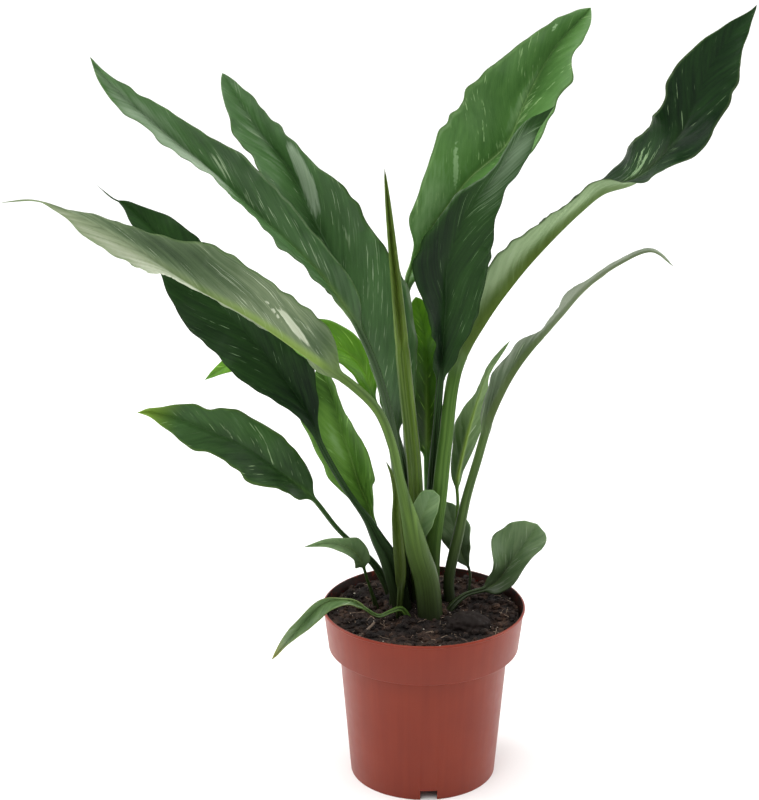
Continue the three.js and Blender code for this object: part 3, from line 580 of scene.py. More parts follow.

# %% [markdown]
# ## The leaves' values
# A peace lily's leaf is a long stem that flattens into a lance-shaped blade with a channel along its midrib
# and a drip tip. Each leaf is told by a route through points in space and by how its two halves grow and
# turn. What most leaves have in common stands once, and a leaf names only what is its own.

# %% Values of the leaves, in mm
# route: foot to tip. stalk: share of the route that is stem. half: greatest breadth of one half of the blade.
# widest: where that is, as a share of the blade. full: 1 is a full outline, 2 a slender one. bow: how far the
# halves bow. left, right: degrees that each half is turned forward, or back below 0, from stem to tip.
# left_share: percent of its breadth that half has. stem: radius in the sheath and at the bare neck.
# sheath: share of the stem at which the sheath ends. tail: share of the blade that is drip tip.
# wave: height, count and start of the margin's waves. ripple: how much the breadth follows them.
# underside: whether the leaf's lower face is the one toward the front. finish: which colours it gets.
# rib: share of the blade that shows the midrib's own colour, and its breadth in stem radii.
# slant: how far a side vein runs along the leaf for each mm away from the midrib, from stem to tip.
# patches: pale patches with clear edges, placed along the side veins. paler, flecked: soft spots. The
# first are painted light and painted shade: they make a lit part of a blade lighter, up to a grey painted
# sheen, and a part in shade darker. Each of the three has its place along and across the blade, its two sizes
# and its strength.
# easy: how far apart, as a share of the route, the two places are that give its direction.
STEM_FOOT = 85
COMMON = dict(
    underside=False, bow=0.12, tail=0, ripple=0, wave=(0, 3, 0), easy=0.012, rib=(0.45, 0.6),
    slant=(1.55, 1.55), left_share=(100, 100), right_share=(100, 100), paler=(), flecked=(), patches=())
LEAVES = []


def plan_leaf(name, finish, route, **values):
    """Notes one leaf, whose stem starts straight below the first point of its route."""
    foot = (*route[0][:2], STEM_FOOT)
    LEAVES.append(dict(COMMON, name="leaf_" + name, finish=finish, route=[foot, *route], **values))


plan_leaf("upper_left", "mature", [
    (-11.5, 18.5, 97), (-14, 8, 169), (-21, -4, 228), (-34.5, -8, 271), (-52.5, -12, 302), (-67.5, -14, 320),
    (-94, -16, 346), (-117, -18, 369), (-141, -22, 390.5), (-169.5, -28, 419), (-179, -30, 432.5)],
    stalk=0.47, half=15.6, widest=0.42, full=1.45, stem=(3.4, 2.2), sheath=0.7, wave=(1.8, 1.7, 0.7),
    rib=(0.25, 0.6), slant=(2, 2.6, 2.6), left=(40, 80, 80, 75, 5), right=(15, 15, 15, 30, 80),
    left_share=(8, 8, 20, 66, 66, 129, 82, 115, 72, 66, 101, 75, 106, 102, 99),
    right_share=(100, 101, 101, 87, 85, 96, 106, 112, 119, 109, 110, 107, 101, 145, 109),
    paler=((0.6, -0.6, 0.09, 0.5, 2), (0.78, -0.7, 0.15, 0.5, 0.6), (0.85, 0, 0.2, 1, 1),
        (0.35, -0.2, 0.15, 0.5, 0.3), (0.55, 0.8, 0.25, 0.4, -0.3)),
    flecked=((0.56, 0.45, 0.06, 0.3, 2.5), (0.45, 0.25, 0.06, 0.3, 2.5), (0.27, 0.35, 0.06, 0.3, 2.5)))
plan_leaf("tall_left", "mature", [
    (-7.5, 29, 97), (-10.5, 18.5, 177.5), (-21.5, 18, 221), (-31, 21, 255.5), (-44, 25, 288.5),
    (-64, 31, 330.5), (-79.5, 38, 360), (-98.5, 46, 382), (-117.5, 54, 411.5)],
    stalk=0.34, half=28.4, widest=0.3, full=1.05, stem=(3.6, 2.4), sheath=0.7, wave=(2.5, 2, 0.7),
    rib=(0.1, 0.6), slant=(2, 2), left=(60, 60, 60, 60, 60, 60, 60, 40, 15), right=(30, 15, 10, 60, 45),
    left_share=(8, 15, 8, 8, 15, 37, 85, 97, 96, 111, 132, 108, 130, 112, 124),
    right_share=(145, 77, 81, 93, 103, 113, 109, 101, 113, 117, 91, 92, 102, 112, 103),
    paler=((0.87, -0.1, 0.15, 0.8, 0.7), (0.75, -0.3, 0.08, 0.4, 0.4), (0.35, 0.3, 0.3, 0.6, 0.15),
        (0.5, -0.2, 0.12, 0.25, -0.7)),
    flecked=((0.35, 0.5, 0.2, 0.4, 1.2), (0.84, -0.1, 0.06, 0.25, 2.5), (0.5, 0.6, 0.15, 0.4, 1)),
    patches=((0.6, 0.45, 0.075, 0.5, 1),))
plan_leaf("long_left", "pale", [
    (4, 0, 97), (1.5, -0.5, 121.5), (-4, -4.5, 142.5), (-9, -11.5, 167), (-14, -18.5, 191),
    (-18.5, -26.5, 215), (-26, -34, 237), (-38.5, -42, 253.5), (-64.5, -54, 276.5), (-91, -66, 299.5),
    (-118.5, -80, 320), (-147.5, -92, 342.5), (-178.5, -106, 364.5), (-196.5, -112, 372.5),
    (-212, -116, 372.5)],
    stalk=0.47, half=22.9, widest=0.35, full=1.7, stem=(7.4, 2.6), sheath=0.42, tail=0.09,
    wave=(2, 3.1, 0.7), underside=True, rib=(0.42, 0.45), slant=(1.2, 2, 3.6, 4, 4),
    left=(-80, -80, -75, -22, -10), right=(-30, -25, -10, -50, -80),
    left_share=(107, 145, 115, 99, 97, 99, 125, 145, 115, 79, 98, 122, 76, 92, 101),
    right_share=(111, 145, 120, 112, 102, 99, 110, 112, 89, 83, 84, 118, 113, 102, 99),
    paler=((0.62, 0.5, 0.12, 0.5, -0.7), (0.45, 0.5, 0.15, 0.6, -0.55), (0.75, -0.5, 0.3, 0.5, 0.8),
        (0.5, -0.6, 0.2, 0.4, 0.9), (0.1, 0.5, 0.06, 0.5, -0.5), (0.9, 0.3, 0.15, 0.8, -0.3)),
    flecked=((0.25, 0.4, 0.2, 0.5, 1.5),),
    patches=((0.107, 0.36, 0.03, 0.22, 1), (0.16, 0.4, 0.008, 0.16, 1)))
plan_leaf("dark_left", "shaded", [
    (-12.5, 8, 97), (-20.5, 6, 131.5), (-27, 4.5, 145), (-33, 1, 158.5), (-40.5, -2, 171),
    (-46.5, -4.5, 181.5), (-59.5, -9.5, 208.5), (-65.5, -8, 224.5), (-88.5, -4, 257.5), (-116.5, 2, 288),
    (-144, 8, 318.5), (-168.5, 14, 342.5), (-177.5, 16, 346.5), (-187, 18, 354)],
    stalk=0.4, half=20.7, widest=0.52, full=2, stem=(5.8, 1.8), sheath=0.5, tail=0.08, wave=(2, 4.3, 1.8),
    rib=(0, 0.6), slant=(2, 2), left=(60, 35, 5, 50, 35), right=(25, 30, 35, 20, 30),
    left_share=(98, 88, 94, 100, 110, 111, 97, 105, 105, 102, 85, 103, 125, 103, 98),
    right_share=(80, 40, 107, 142, 88, 73, 85, 84, 75, 91, 106, 101, 83, 86, 99),
    paler=((0.85, 0.2, 0.15, 1, 0.5), (0.1, 0, 0.15, 1, -0.4)), flecked=((0.5, -0.4, 0.1, 0.5, 0.8),))
plan_leaf("back_left", "backlit", [
    (-15.5, 25, 97), (-15.5, 19, 164.5), (-20.5, 20.5, 201.5), (-30, 30, 222), (-37.5, 40, 240),
    (-54, 50, 251), (-87.5, 64, 246.5), (-121, 78, 229), (-136, 84, 218)],
    stalk=0.5, half=15, widest=0.41, full=1.31, stem=(3, 1.8), sheath=0.7, rib=(0.3, 0.6),
    left=(55, 60, 35, 25, 25), right=(10, 0, 10, 20, 25), left_share=(95, 90, 97, 100, 100, 100, 75, 50, 30),
    right_share=(81, 45, 73, 88, 98, 100, 100, 60, 40), flecked=((0.3, 0.3, 0.3, 0.6, 1),))
plan_leaf("low_left", "low", [
    (-20, 30, 97), (-28.5, 31, 116), (-51.5, 23, 144), (-66, 13.5, 167.5), (-81.5, 3, 185.5),
    (-103, -9, 207), (-130.5, -20, 223.5), (-154, -28, 234), (-161.5, -30, 234)],
    stalk=0.42, half=16.3, widest=0.47, full=2, stem=(2.6, 1.5), sheath=0.45, wave=(1.5, 3.1, 1.5),
    rib=(0.1, 0.6), left=(35, 60, 45, 35, 35), right=(0, 0, 0, 35, 55),
    left_share=(99, 97, 100, 113, 108, 87, 112, 118, 102),
    right_share=(105, 125, 110, 105, 94, 116, 107, 125, 102),
    paler=((0.8, -0.2, 0.1, 0.8, 0.35), (0.35, -0.5, 0.2, 0.6, -0.5), (0.5, 0.7, 0.3, 0.4, 0.3)),
    flecked=((0.35, 0.3, 0.2, 0.6, 0.8), (0.6, 0.4, 0.15, 0.4, 0.7)))
plan_leaf("small_left", "small", [
    (-28, 10, 97), (-33.5, 5.5, 119), (-37, -1.5, 134), (-43, -12.5, 146), (-54, -25.5, 154.5),
    (-68.5, -35, 156)],
    stalk=0.42, half=6.8, widest=0.3, full=2, bow=0.1, stem=(1.6, 0.9), sheath=0.5, left=(35, 60, 45, 50),
    right=(20, 10, 45, 40), left_share=(101, 95, 77, 82, 100, 91, 98),
    right_share=(99, 98, 104, 133, 117, 145, 108))
plan_leaf("inner_left", "young", [
    (-18.5, 16, 97), (-20.5, 14.5, 128), (-25.5, 14.5, 141), (-30.5, 16.5, 152.5), (-33.5, 18.5, 162),
    (-38.5, 22, 172.5), (-44, 23.5, 191), (-49.5, 27, 205.5), (-55, 32, 225), (-63, 38, 241.5)],
    stalk=0.36, half=18.2, widest=0.6, full=2, stem=(2, 1.3), sheath=0.5, rib=(0.5, 0.6),
    left=(35, 60, 20, 10, 15), right=(55, 66, 66, 62, 60),
    left_share=(99, 107, 127, 112, 97, 101, 134, 110, 98),
    right_share=(50, 50, 130, 145, 117, 85, 39, 58, 95),
    paler=((0.6, -0.3, 0.2, 0.2, 0.8), (0.5, 0.6, 0.3, 0.4, -0.35), (0.85, 0, 0.15, 1, -0.4)),
    flecked=((0.5, 0, 0.3, 0.5, 1),))
plan_leaf("over_rim", "rim", [
    (-8.5, -4, 97), (-13, -6, 105.5), (-19, -12, 106.5), (-26, -21, 107.5), (-34.5, -30, 116.5),
    (-42, -36, 123.5), (-56, -44, 125.5), (-70, -52, 113.5), (-86, -60, 97)],
    stalk=0.42, half=5.3, widest=0.51, full=2, stem=(1.8, 1.1), sheath=0.5, left=(40, 60, 50, 55),
    right=(50, 55, 45, 45), left_share=(100, 89, 78, 145, 145, 113, 77, 32, 89),
    right_share=(104, 78, 12, 58, 95, 87, 130, 134, 104),
    paler=((0.9, 0, 0.2, 1.5, 1.2), (0.4, 0.3, 0.2, 0.5, 0.5)))
plan_leaf("rolled_spike", "spike", [
    (-3.5, 20, 97), (-5.5, 8.5, 181), (-11.5, 4, 244), (-16.5, 3, 297.5), (-20, 3, 332), (-23.5, 3, 367)],
    stalk=0.62, half=2.6, widest=0.3, full=1.3, stem=(4.4, 4.2), sheath=0.8, left=(55, 60, 60),
    right=(55, 60, 60))
plan_leaf("tall_centre", "fresh", [
    (-6, 38, 97), (-8, 30.5, 173), (-12.5, 33, 259), (-11.5, 35, 289), (-1, 38, 318), (23.5, 44, 351.5),
    (45.5, 49, 371.5), (57.5, 56, 398), (73.5, 63, 426.5), (93, 68, 447.5)],
    stalk=0.5, half=36.5, widest=0.55, full=2, stem=(3.6, 2.4), sheath=0.7, wave=(0.4, 4, 0.4), easy=0.05,
    rib=(0.75, 0.6), slant=(0.6, 0.7, 1.2), left=(60, 60, 30, 50, 60), right=(60, 70, 74, 60, 45),
    left_share=(20, 22, 30, 107, 96, 97, 100, 101, 102, 110, 106, 88, 80, 95, 104),
    right_share=(100, 100, 100, 100, 100, 100, 100, 100, 98, 86, 81, 112, 74, 94, 135),
    paler=((0.92, 0.4, 0.1, 0.8, 0.4), (0.6, 0.6, 0.2, 0.5, 0.3), (0.25, -0.4, 0.16, 0.7, 1),
        (0.68, -0.1, 0.12, 0.12, 1.2)), flecked=((0.5, -0.3, 0.4, 0.6, 0.7), (0.62, 0.15, 0.12, 0.3, 2)),
    patches=((0.337, -0.4, 0.013, 0.34, 1), (0.812, -0.72, 0.012, 0.12, 1)))
plan_leaf("dark_centre", "shaded", [
    (4, 31, 97), (5, 18.5, 177.5), (8.5, 5, 242.5), (11, -5, 288), (12, -14, 317), (22.5, -24, 348.5),
    (36, -30, 368.5), (49.5, -36, 390.5), (67, -44, 410)],
    stalk=0.45, half=18.3, widest=0.38, full=2, stem=(3.4, 2.2), sheath=0.7, wave=(2, 3.7, 0.7),
    rib=(0, 0.6), slant=(3, 4), left=(60, 60, 35, 60, 15), right=(60, 15, 5, 0, 0),
    left_share=(103, 83, 36, 94, 91, 102, 120, 106, 83, 72, 78, 64, 68, 145, 113),
    right_share=(101, 93, 80, 100, 111, 115, 119, 119, 113, 98, 69, 108, 145, 97, 94),
    paler=((0.74, 0.3, 0.16, 1, 0.9), (0.86, 0.1, 0.1, 1.2, 0.7), (0.3, 0.5, 0.25, 0.5, 0.35),
        (0.35, -0.6, 0.25, 0.4, -0.5), (0.05, 0, 0.12, 1, -0.5), (0.7, -1, 0.2, 0.12, 1.5)),
    flecked=((0.72, 0.1, 0.2, 1, 1.6), (0.25, 0.6, 0.1, 0.4, 1.2)))
plan_leaf("tall_right", "twisted", [
    (4.5, 16, 97), (5.5, 13, 138.5), (8.5, 9, 168.5), (12, 6.5, 206.5), (18, 11, 249.5), (33, 10, 280),
    (51.5, 6, 308), (66.5, 2, 327), (84, -2, 346), (96.5, -5, 357), (113.5, -8, 363.5), (127, -12, 376.5),
    (136.5, -16, 390), (142.5, -20, 406), (149.5, -27, 428.5), (160, -34, 447.5), (170, -40, 462)],
    stalk=0.36, half=22.5, widest=0.5, full=1.4, stem=(4.5, 3.9), sheath=0.75, wave=(1, 5, 5.8),
    underside=True, rib=(0.55, 1.5), slant=(2, 2), left=(-10, 5, 35, 68, 84, 106, 148, 165, 160),
    right=(-95, -100, -103, -104, -104, -132, -170, -185, -165),
    left_share=(100, 100, 100, 96, 80, 82, 95, 83, 73, 72, 100, 103, 95, 114, 132, 99, 74),
    right_share=(100, 98, 99, 124, 145, 145, 90, 78, 81, 118, 102, 89, 82, 111, 98, 63, 8),
    paler=((0.28, -0.6, 0.2, 0.4, 0.5), (0.25, 0, 0.3, 0.2, -0.6), (0.32, 0.5, 0.14, 0.8, -0.6),
        (0.62, 0.3, 0.08, 0.4, 0.4), (0.8, 0, 0.2, 1, -0.3)),
    flecked=((0.6, 0.3, 0.05, 0.3, 3), (0.69, -0.5, 0.05, 0.3, 2)))
plan_leaf("arching_right", "arching", [
    (16, 20, 97), (15, 20.5, 113), (20.5, 19.5, 143.5), (24.5, 18, 165.5), (30.5, 16, 189.5), (39, 14, 221),
    (53, 10, 251), (76.5, 6, 282), (90, 2, 299.5), (108, -2, 314.5), (125.5, -6, 322.5), (137.5, -8, 314.5)],
    stalk=0.42, half=11, widest=0.37, full=1.32, stem=(3.3, 2.6), sheath=0.6, wave=(1, 3, 0.4),
    underside=True, rib=(1.2, 0.9), slant=(3, 3), left=(-20, -32, -52, -52, -45),
    right=(-95, -100, -95, -100, -95),
    left_share=(99, 95, 99, 120, 81, 93, 49, 67, 107, 58, 53, 92, 87, 75, 96),
    right_share=(100, 99, 98, 100, 127, 145, 74, 145, 145, 82, 12, 116, 111, 102, 99),
    paler=((0.3, 0.2, 0.2, 0.8, -1.1), (0.1, 0, 0.1, 1, -0.8), (0.62, -0.3, 0.2, 0.8, 1.3)))
plan_leaf("small_right", "hidden", [
    (16, 32, 97), (20, 32.5, 156.5), (19.5, 32, 171), (24.5, 32.5, 198), (31, 36, 221.5), (38, 40, 240.5),
    (50, 44, 256.5)],
    stalk=0.45, half=9.6, widest=0.38, full=2, stem=(1.6, 1), sheath=0.5, underside=True, rib=(0.6, 0.6),
    left=(-30, -30, -48, -50), right=(-45, -40, -40, -40),
    left_share=(103, 90, 89, 113, 106, 49, 43, 75, 101),
    right_share=(89, 62, 94, 102, 122, 100, 39, 83, 103),
    paler=((0.2, 0, 0.2, 1, -0.5), (0.7, 0.3, 0.2, 0.6, 0.4)))
plan_leaf("low_right", "small", [
    (27, 32, 97), (28, 37, 111.5), (23, 39.5, 122), (18.5, 39.5, 138), (16, 41.5, 146), (13.5, 42, 155)],
    stalk=0.4, half=8.6, widest=0.6, full=1.75, stem=(1.3, 0.8), sheath=0.5, wave=(0.8, 3, 1), ripple=0.08,
    left=(20, 15, 15), right=(25, 20, 15))
plan_leaf("torn_right", "small", [
    (14.5, 8, 97), (24, 12, 106.5), (38, 16, 110), (44, 19.5, 113.5), (53, 24, 125), (62.5, 27, 138),
    (67.5, 28.5, 146.5)],
    stalk=0.42, half=15.1, widest=0.6, full=1.12, stem=(2.4, 1.6), sheath=0.6, rib=(0.4, 0.5),
    left=(35, 60, 5, 15), right=(30, 55, 60, 35), left_share=(100, 93, 81, 126, 112, 118, 102, 116, 102),
    right_share=(99, 95, 101, 87, 79, 89, 85, 103, 113), flecked=((0.3, 0, 0.3, 1, 2),))
plan_leaf("small_front", "small", [
    (-1, 10, 97), (-2.5, 9.5, 121), (-3, 7.5, 137.5), (-2.5, 3.5, 152), (0, 0, 165), (5, -2.5, 179)],
    stalk=0.62, half=7, widest=0.6, full=0.9, stem=(1.4, 0.9), sheath=0.5, ripple=0.03, left=(10, 10, 10),
    right=(10, 10, 10))
plan_leaf("front_sheath", "spike", [
    (-14.5, -1, 97), (-13.5, -2, 125.5), (-14.5, -3.5, 142), (-16, -4, 161), (-16.5, -5, 178.5),
    (-19.5, -6, 191.5), (-22.5, -6, 198)],
    stalk=0.25, half=3.6, widest=0.3, full=1.6, stem=(2.1, 1.9), sheath=0.6, left=(30, 35, 30),
    right=(40, 45, 40))
plan_leaf("back_centre", "backlit", [
    (4.5, 44, 97), (2, 38.5, 170), (1, 42, 219.5), (-0.5, 50, 257.5), (-6, 55, 279.5)],
    stalk=0.5, half=11, widest=0.5, full=1.1, stem=(3, 2.4), sheath=0.7, wave=(1.5, 3, 1), ripple=0.05,
    left=(25, 30, 20), right=(30, 35, 20), paler=((0.3, 0, 0.4, 2, -1.3),))
print(len(LEAVES), "leaves")

# %% [markdown]
# ## Curves and shares
# The route is a smooth curve through its points. A leaf is reckoned in rows from foot to tip and in columns
# across, so most values below are one per row, and a column of them meets the values across.

# %% The route as a smooth curve
CURVE_SAMPLES = 120  # between two points of a route


def along_route(points, shares):
    """Places at shares of a centripetal curve's length, and that length."""
    p = np.array(points, float)
    p = np.vstack((2 * p[0] - p[1], p, 2 * p[-1] - p[-2]))
    samples = []
    for i in range(1, len(p) - 2):
        gap = [max(np.linalg.norm(p[i + k] - p[i + k - 1]) ** 0.5, 1e-4) for k in (0, 1, 2)]
        start = ((p[i] - p[i - 1]) / gap[0] - (p[i + 1] - p[i - 1]) / (gap[0] + gap[1])
                 + (p[i + 1] - p[i]) / gap[1]) * gap[1]
        end = ((p[i + 1] - p[i]) / gap[1] - (p[i + 2] - p[i]) / (gap[1] + gap[2])
               + (p[i + 2] - p[i + 1]) / gap[2]) * gap[1]
        w = np.linspace(0, 1, CURVE_SAMPLES, endpoint=False)[:, None]
        samples.append(p[i] + start * w + (-3 * p[i] + 3 * p[i + 1] - 2 * start - end) * w ** 2
                       + (2 * p[i] - 2 * p[i + 1] + start + end) * w ** 3)
    samples = np.vstack(samples + [p[-2:-1]])
    lengths = np.concatenate(([0], np.cumsum(np.linalg.norm(np.diff(samples, axis=0), axis=1))))
    places = np.stack([np.interp(shares * lengths[-1], lengths, samples[:, k]) for k in range(3)], 1)
    return places, lengths[-1]


def smoothstep(value, low, high):
    w = np.clip((value - low) / (high - low), 0, 1)
    return w * w * (3 - 2 * w)


def eased(values, shares):
    """Equally spaced values, joined with no corners."""
    place = shares * (len(values) - 1)
    i = np.minimum(place.astype(int), len(values) - 2)
    w = smoothstep(place - i, 0, 1)
    values = np.array(values, float)
    return values[i] * (1 - w) + values[i + 1] * w


def unit(vectors):
    return vectors / np.linalg.norm(vectors, axis=-1, keepdims=True)


def column(values):
    """One value or direction per row, to meet the values across."""
    return values[:, None]


# %% [markdown]
# The breadth of a half follows a plain outline, and the leaf's own share of it makes that outline uneven, as
# each half of a real blade is. Fine pleats lie between the side veins, and wider swells grow toward the
# margin. Their spacings are given in mm, and the leaf's number shifts them, so no two leaves match.

# %% Breadth, relief and spots of a blade
SHARE_WINDOW = 9  # rows
BROAD_PLEATS, FINE_PLEATS, SWELLS = 9, 5.3, 23


def blade_outline(leaf, blade):
    """Breadth of one half, from the stem to the tip."""
    place = np.clip(blade / (1 - leaf["tail"]), 1e-6, 0.9999)
    widest, full = leaf["widest"], leaf["full"]
    return leaf["half"] * ((place / widest) ** (full * widest)
                           * ((1 - place) / (1 - widest)) ** (full * (1 - widest)))


def own_share(percents, blade):
    """A half's own share of the breadth, with every sudden change spread over a few rows."""
    window = np.hanning(SHARE_WINDOW + 2)[1:-1]
    shares = eased(np.array(percents) / 100, blade)
    shares = np.pad(shares, SHARE_WINDOW // 2, mode="edge")
    return column(np.convolve(shares, window / window.sum(), mode="valid"))


def pleats(number, slant, s):
    """Rise of the pleats along the side veins. They fade out at the midrib and the margin."""
    broad = 0.2 * np.sin(2 * math.pi * slant / BROAD_PLEATS + 2.2 * np.sin(slant / 13 + number))
    fine = 0.09 * np.sin(2 * math.pi * slant / FINE_PLEATS + 2.5 * np.sin(slant / 9 + 2 * number))
    return (broad + fine) * smoothstep(np.abs(s), 0.04, 0.3) * (1 - 0.6 * smoothstep(np.abs(s), 0.8, 1))


def swells(number, along, hand, s):
    """Rise of the swells, which differ on the two halves."""
    turn = 2 * math.pi * along / SWELLS + number + 2 * hand
    return (0.6 * np.sin(turn + 0.9 * np.sin(turn / 1.7)) + 0.35 * np.sin(1.9 * turn + 1)) * np.abs(s) ** 2.5


def spots(marks, along, across):
    """Soft spots, each with its place along and across, its two sizes and its strength."""
    total = 0 * (along + across)
    for place, side, spread, width, strength in marks:
        total = total + strength * np.exp(-((along - place) / spread) ** 2 - ((across - side) / width) ** 2)
    return total


# %% [markdown]
# ## One leaf from one sheet
# A leaf could be sculpted, but twenty that differ are better laid out by rule. A flat grid is added, its
# columns go round the leaf, over the upper face and back along the lower, and its rows go from foot to
# tip. Every vertex is laid in place, the seam is merged and the two ends are closed. Blade and stem are
# then one skin, as on the plant. The grid keeps two UV maps: one straight along the leaf, and one that
# follows the side veins, which leave the midrib at a slant and bend towards the tip.

# %% Form of a leaf
HALF_COLUMNS = 14
ROW_STEP = 1.6
FRONT = np.array((0, -1, 0.31)) / math.hypot(1, 0.31)  # toward the camera
BLADE_THICKNESS = 0.7
BLADE_OPEN, SHEATH_FADE, RIB_FADE = 0.1, 0.2, 0.25  # shares of the blade, the stem and the blade
MARGIN_BREADTH, CHANNEL_BREADTH = 0.9, 1.6
GROOVE_BREADTH = 0.35  # as a share of the stem's radius
PLEATED_BREADTH = 12  # a half this broad has its full pleats and swells
PLEATED_ABOVE, PLEATED_BELOW = 0.75, 1.5  # the veins stand out more on the lower face
EDGE_UNDER = 0.35  # how far the very edge looks like the lower face


def leaf_form(number, leaf):
    """Points of the sheet in mm, its two maps and its masks, all as rows of columns."""
    stalk = leaf["stalk"]
    length = along_route(leaf["route"], np.array([0, 1]))[1]
    shares = np.concatenate((
        np.linspace(0, stalk, int(length * stalk / (2 * ROW_STEP)), endpoint=False),
        np.linspace(stalk, 1, int(length * (1 - stalk) / ROW_STEP))))
    centre, ahead, behind = (along_route(leaf["route"], np.clip(shares + step, 0, 1))[0]
                             for step in (0, leaf["easy"], -leaf["easy"]))
    tangent = unit(ahead - behind)
    side = unit(np.cross(tangent, FRONT))
    face = np.cross(side, tangent)

    blade = np.maximum((shares - stalk) / (1 - stalk), 0)
    flat = smoothstep(blade, 0, BLADE_OPEN)
    up_stem = np.minimum(shares / stalk, 1)
    bare = smoothstep(up_stem, leaf["sheath"] - SHEATH_FADE, leaf["sheath"] + SHEATH_FADE)
    radius = (leaf["stem"][0] * (1 - bare) + leaf["stem"][1] * bare) * (1 - blade) ** 0.6

    # u and s go from -1 to 1 across the leaf, and come back along its lower face
    u = np.linspace(-1, 1, 2 * HALF_COLUMNS + 1)
    u = np.concatenate((u, u[-2:0:-1], u[:1]))[None, :]
    over = np.ones(u.shape)
    over[:, 2 * HALF_COLUMNS + 1:-1] = -1  # the columns on the lower face
    right = u >= 0
    hand = np.where(right, 1.0, -1.0)
    s = (1 - column(flat)) * np.sin(u * math.pi / 2) + column(flat) * np.sign(u) * np.abs(u) ** 1.3

    # the halves open like a book, each by its own turn, and the stem rolls between them
    left_turn, right_turn = (np.radians(eased(leaf[half], blade)) for half in ("left", "right"))
    turn = np.where(right, column(right_turn), column(left_turn))[..., None]
    blade_out = column(side) * hand[..., None] * np.cos(turn) + column(face) * np.sin(turn)
    blade_up = column(face) * np.cos(turn) - column(side) * hand[..., None] * np.sin(turn)
    roll = column((right_turn - left_turn) / 2)
    stem_out = column(side * np.cos(roll) + face * np.sin(roll)) * hand[..., None]
    stem_up = column(face * np.cos(roll) - side * np.sin(roll))
    flat_everywhere = column(flat)[..., None]
    out = unit(stem_out * (1 - flat_everywhere) + blade_out * flat_everywhere)

    # breadth of each half
    height, count, start = leaf["wave"]
    wave = 2 * math.pi * count * column(blade) + start + np.where(right, 0, 2)
    waving = column(np.minimum(1, np.minimum(4 * blade, 4 * (1 - blade))))
    along = column((shares - stalk) * length)
    outline = column(blade_outline(leaf, blade))
    fine_tip = smoothstep(1 - blade, 0, 0.05) * 0.85 + 0.15
    share = np.where(right, own_share(leaf["right_share"], blade), own_share(leaf["left_share"], blade))
    notched = 1 + 0.02 * np.sin(along / 3.1 + 2 * number + hand + 1.3 * np.sin(along / 7.3))
    blade_half = (outline * share * notched * (1 + leaf["ripple"] * waving * np.cos(wave))
                  + column(np.maximum(0.45, 0.3 * radius) * fine_tip))
    half = column(np.maximum(radius, 0.4)) * (1 - column(flat)) + blade_half * column(flat)
    x = np.abs(s) * half

    # relief: waves at the margin, pleats, swells and bow
    slant = along - column(eased(leaf["slant"], blade)) * x - 0.3 * x * x / np.maximum(half, 4)
    grown = np.minimum(1, outline / PLEATED_BREADTH)
    pleat = (PLEATED_BELOW if leaf["underside"] else PLEATED_ABOVE) * pleats(number, slant, s)
    swell = min(1, 0.35 + height / 2) * swells(number, along, hand, s)
    rise = (height * waving * np.abs(s) ** 1.5 * np.sin(wave) + (pleat + swell) * grown * column(flat)
            - leaf["bow"] * half * column(flat) * s * s)
    opened = (column(flat) * np.minimum(1, x / CHANNEL_BREADTH))[..., None]
    up = unit(stem_up * (1 - opened) + blade_up * opened)
    middle = column(centre) + out * (np.abs(s) * half)[..., None] + up * rise[..., None]

    # thickness: a round stem with a groove above, and a thin blade with a rib below and a channel above
    under = np.where((over > 0) == leaf["underside"], np.where(np.abs(u) == 1, EDGE_UNDER, 1), 0) + 0 * x
    rounded = np.sqrt(np.clip(1 - s * s, 0, 1))
    grooved = column((1 - flat) * smoothstep(up_stem, 0.05, 0.3)) * np.exp(-(s / GROOVE_BREADTH) ** 2)
    edge = np.sqrt(np.clip(1 - np.abs(s) ** 8, 0, 1))
    thick = (column(radius * (1 - flat)) * rounded * (1 - 0.5 * (1 - under) * grooved)
             + column(flat * (0.4 + 0.6 * fine_tip)) * BLADE_THICKNESS / 2 * edge)
    rib = column(radius * flat) * np.exp(-(x / (0.7 * column(radius) + 0.5)) ** 2)
    channel = column(np.minimum(0.3 * radius, 0.3) * flat) * np.exp(-(x / CHANNEL_BREADTH) ** 2)
    points = middle + up * (over * (thick + under * rib - (1 - under) * channel))[..., None]

    # masks for the finish
    rib_reach, rib_breadth = leaf["rib"]
    midrib = (column(flat * (1 - smoothstep(blade, rib_reach - RIB_FADE, rib_reach + RIB_FADE)))
              * np.exp(-(x / (rib_breadth * column(radius) + 0.5)) ** 2))
    margin = smoothstep(x, half - MARGIN_BREADTH, half) * column(flat)
    masks = {
        "under": under, "blade": column(flat) + 0 * x, "midrib": midrib, "margin": margin,
        "tip": column(smoothstep(blade, 0.8, 1)) + 0.25 * margin,
        # soft spots of painted light and painted shade
        "paler": spots(leaf["paler"], column(blade), s), "flecked": spots(leaf["flecked"], column(blade), s),
        "patches": spots(leaf["patches"], slant / (length * (1 - stalk)), s)}
    maps = {"flat_map": (x * np.sign(s), along + 0 * x), "vein_map": (slant, x * np.sign(s))}
    return points, maps, masks


# %% [markdown]
# The sheet itself is a grid primitive. Its vertices come in the grid's own order, so each one's row and
# column are read from where it lies, before it is moved to its place in the leaf.

# %% Lay the sheet
MAP_SHIFT = 83  # mm between two leaves in the patterns


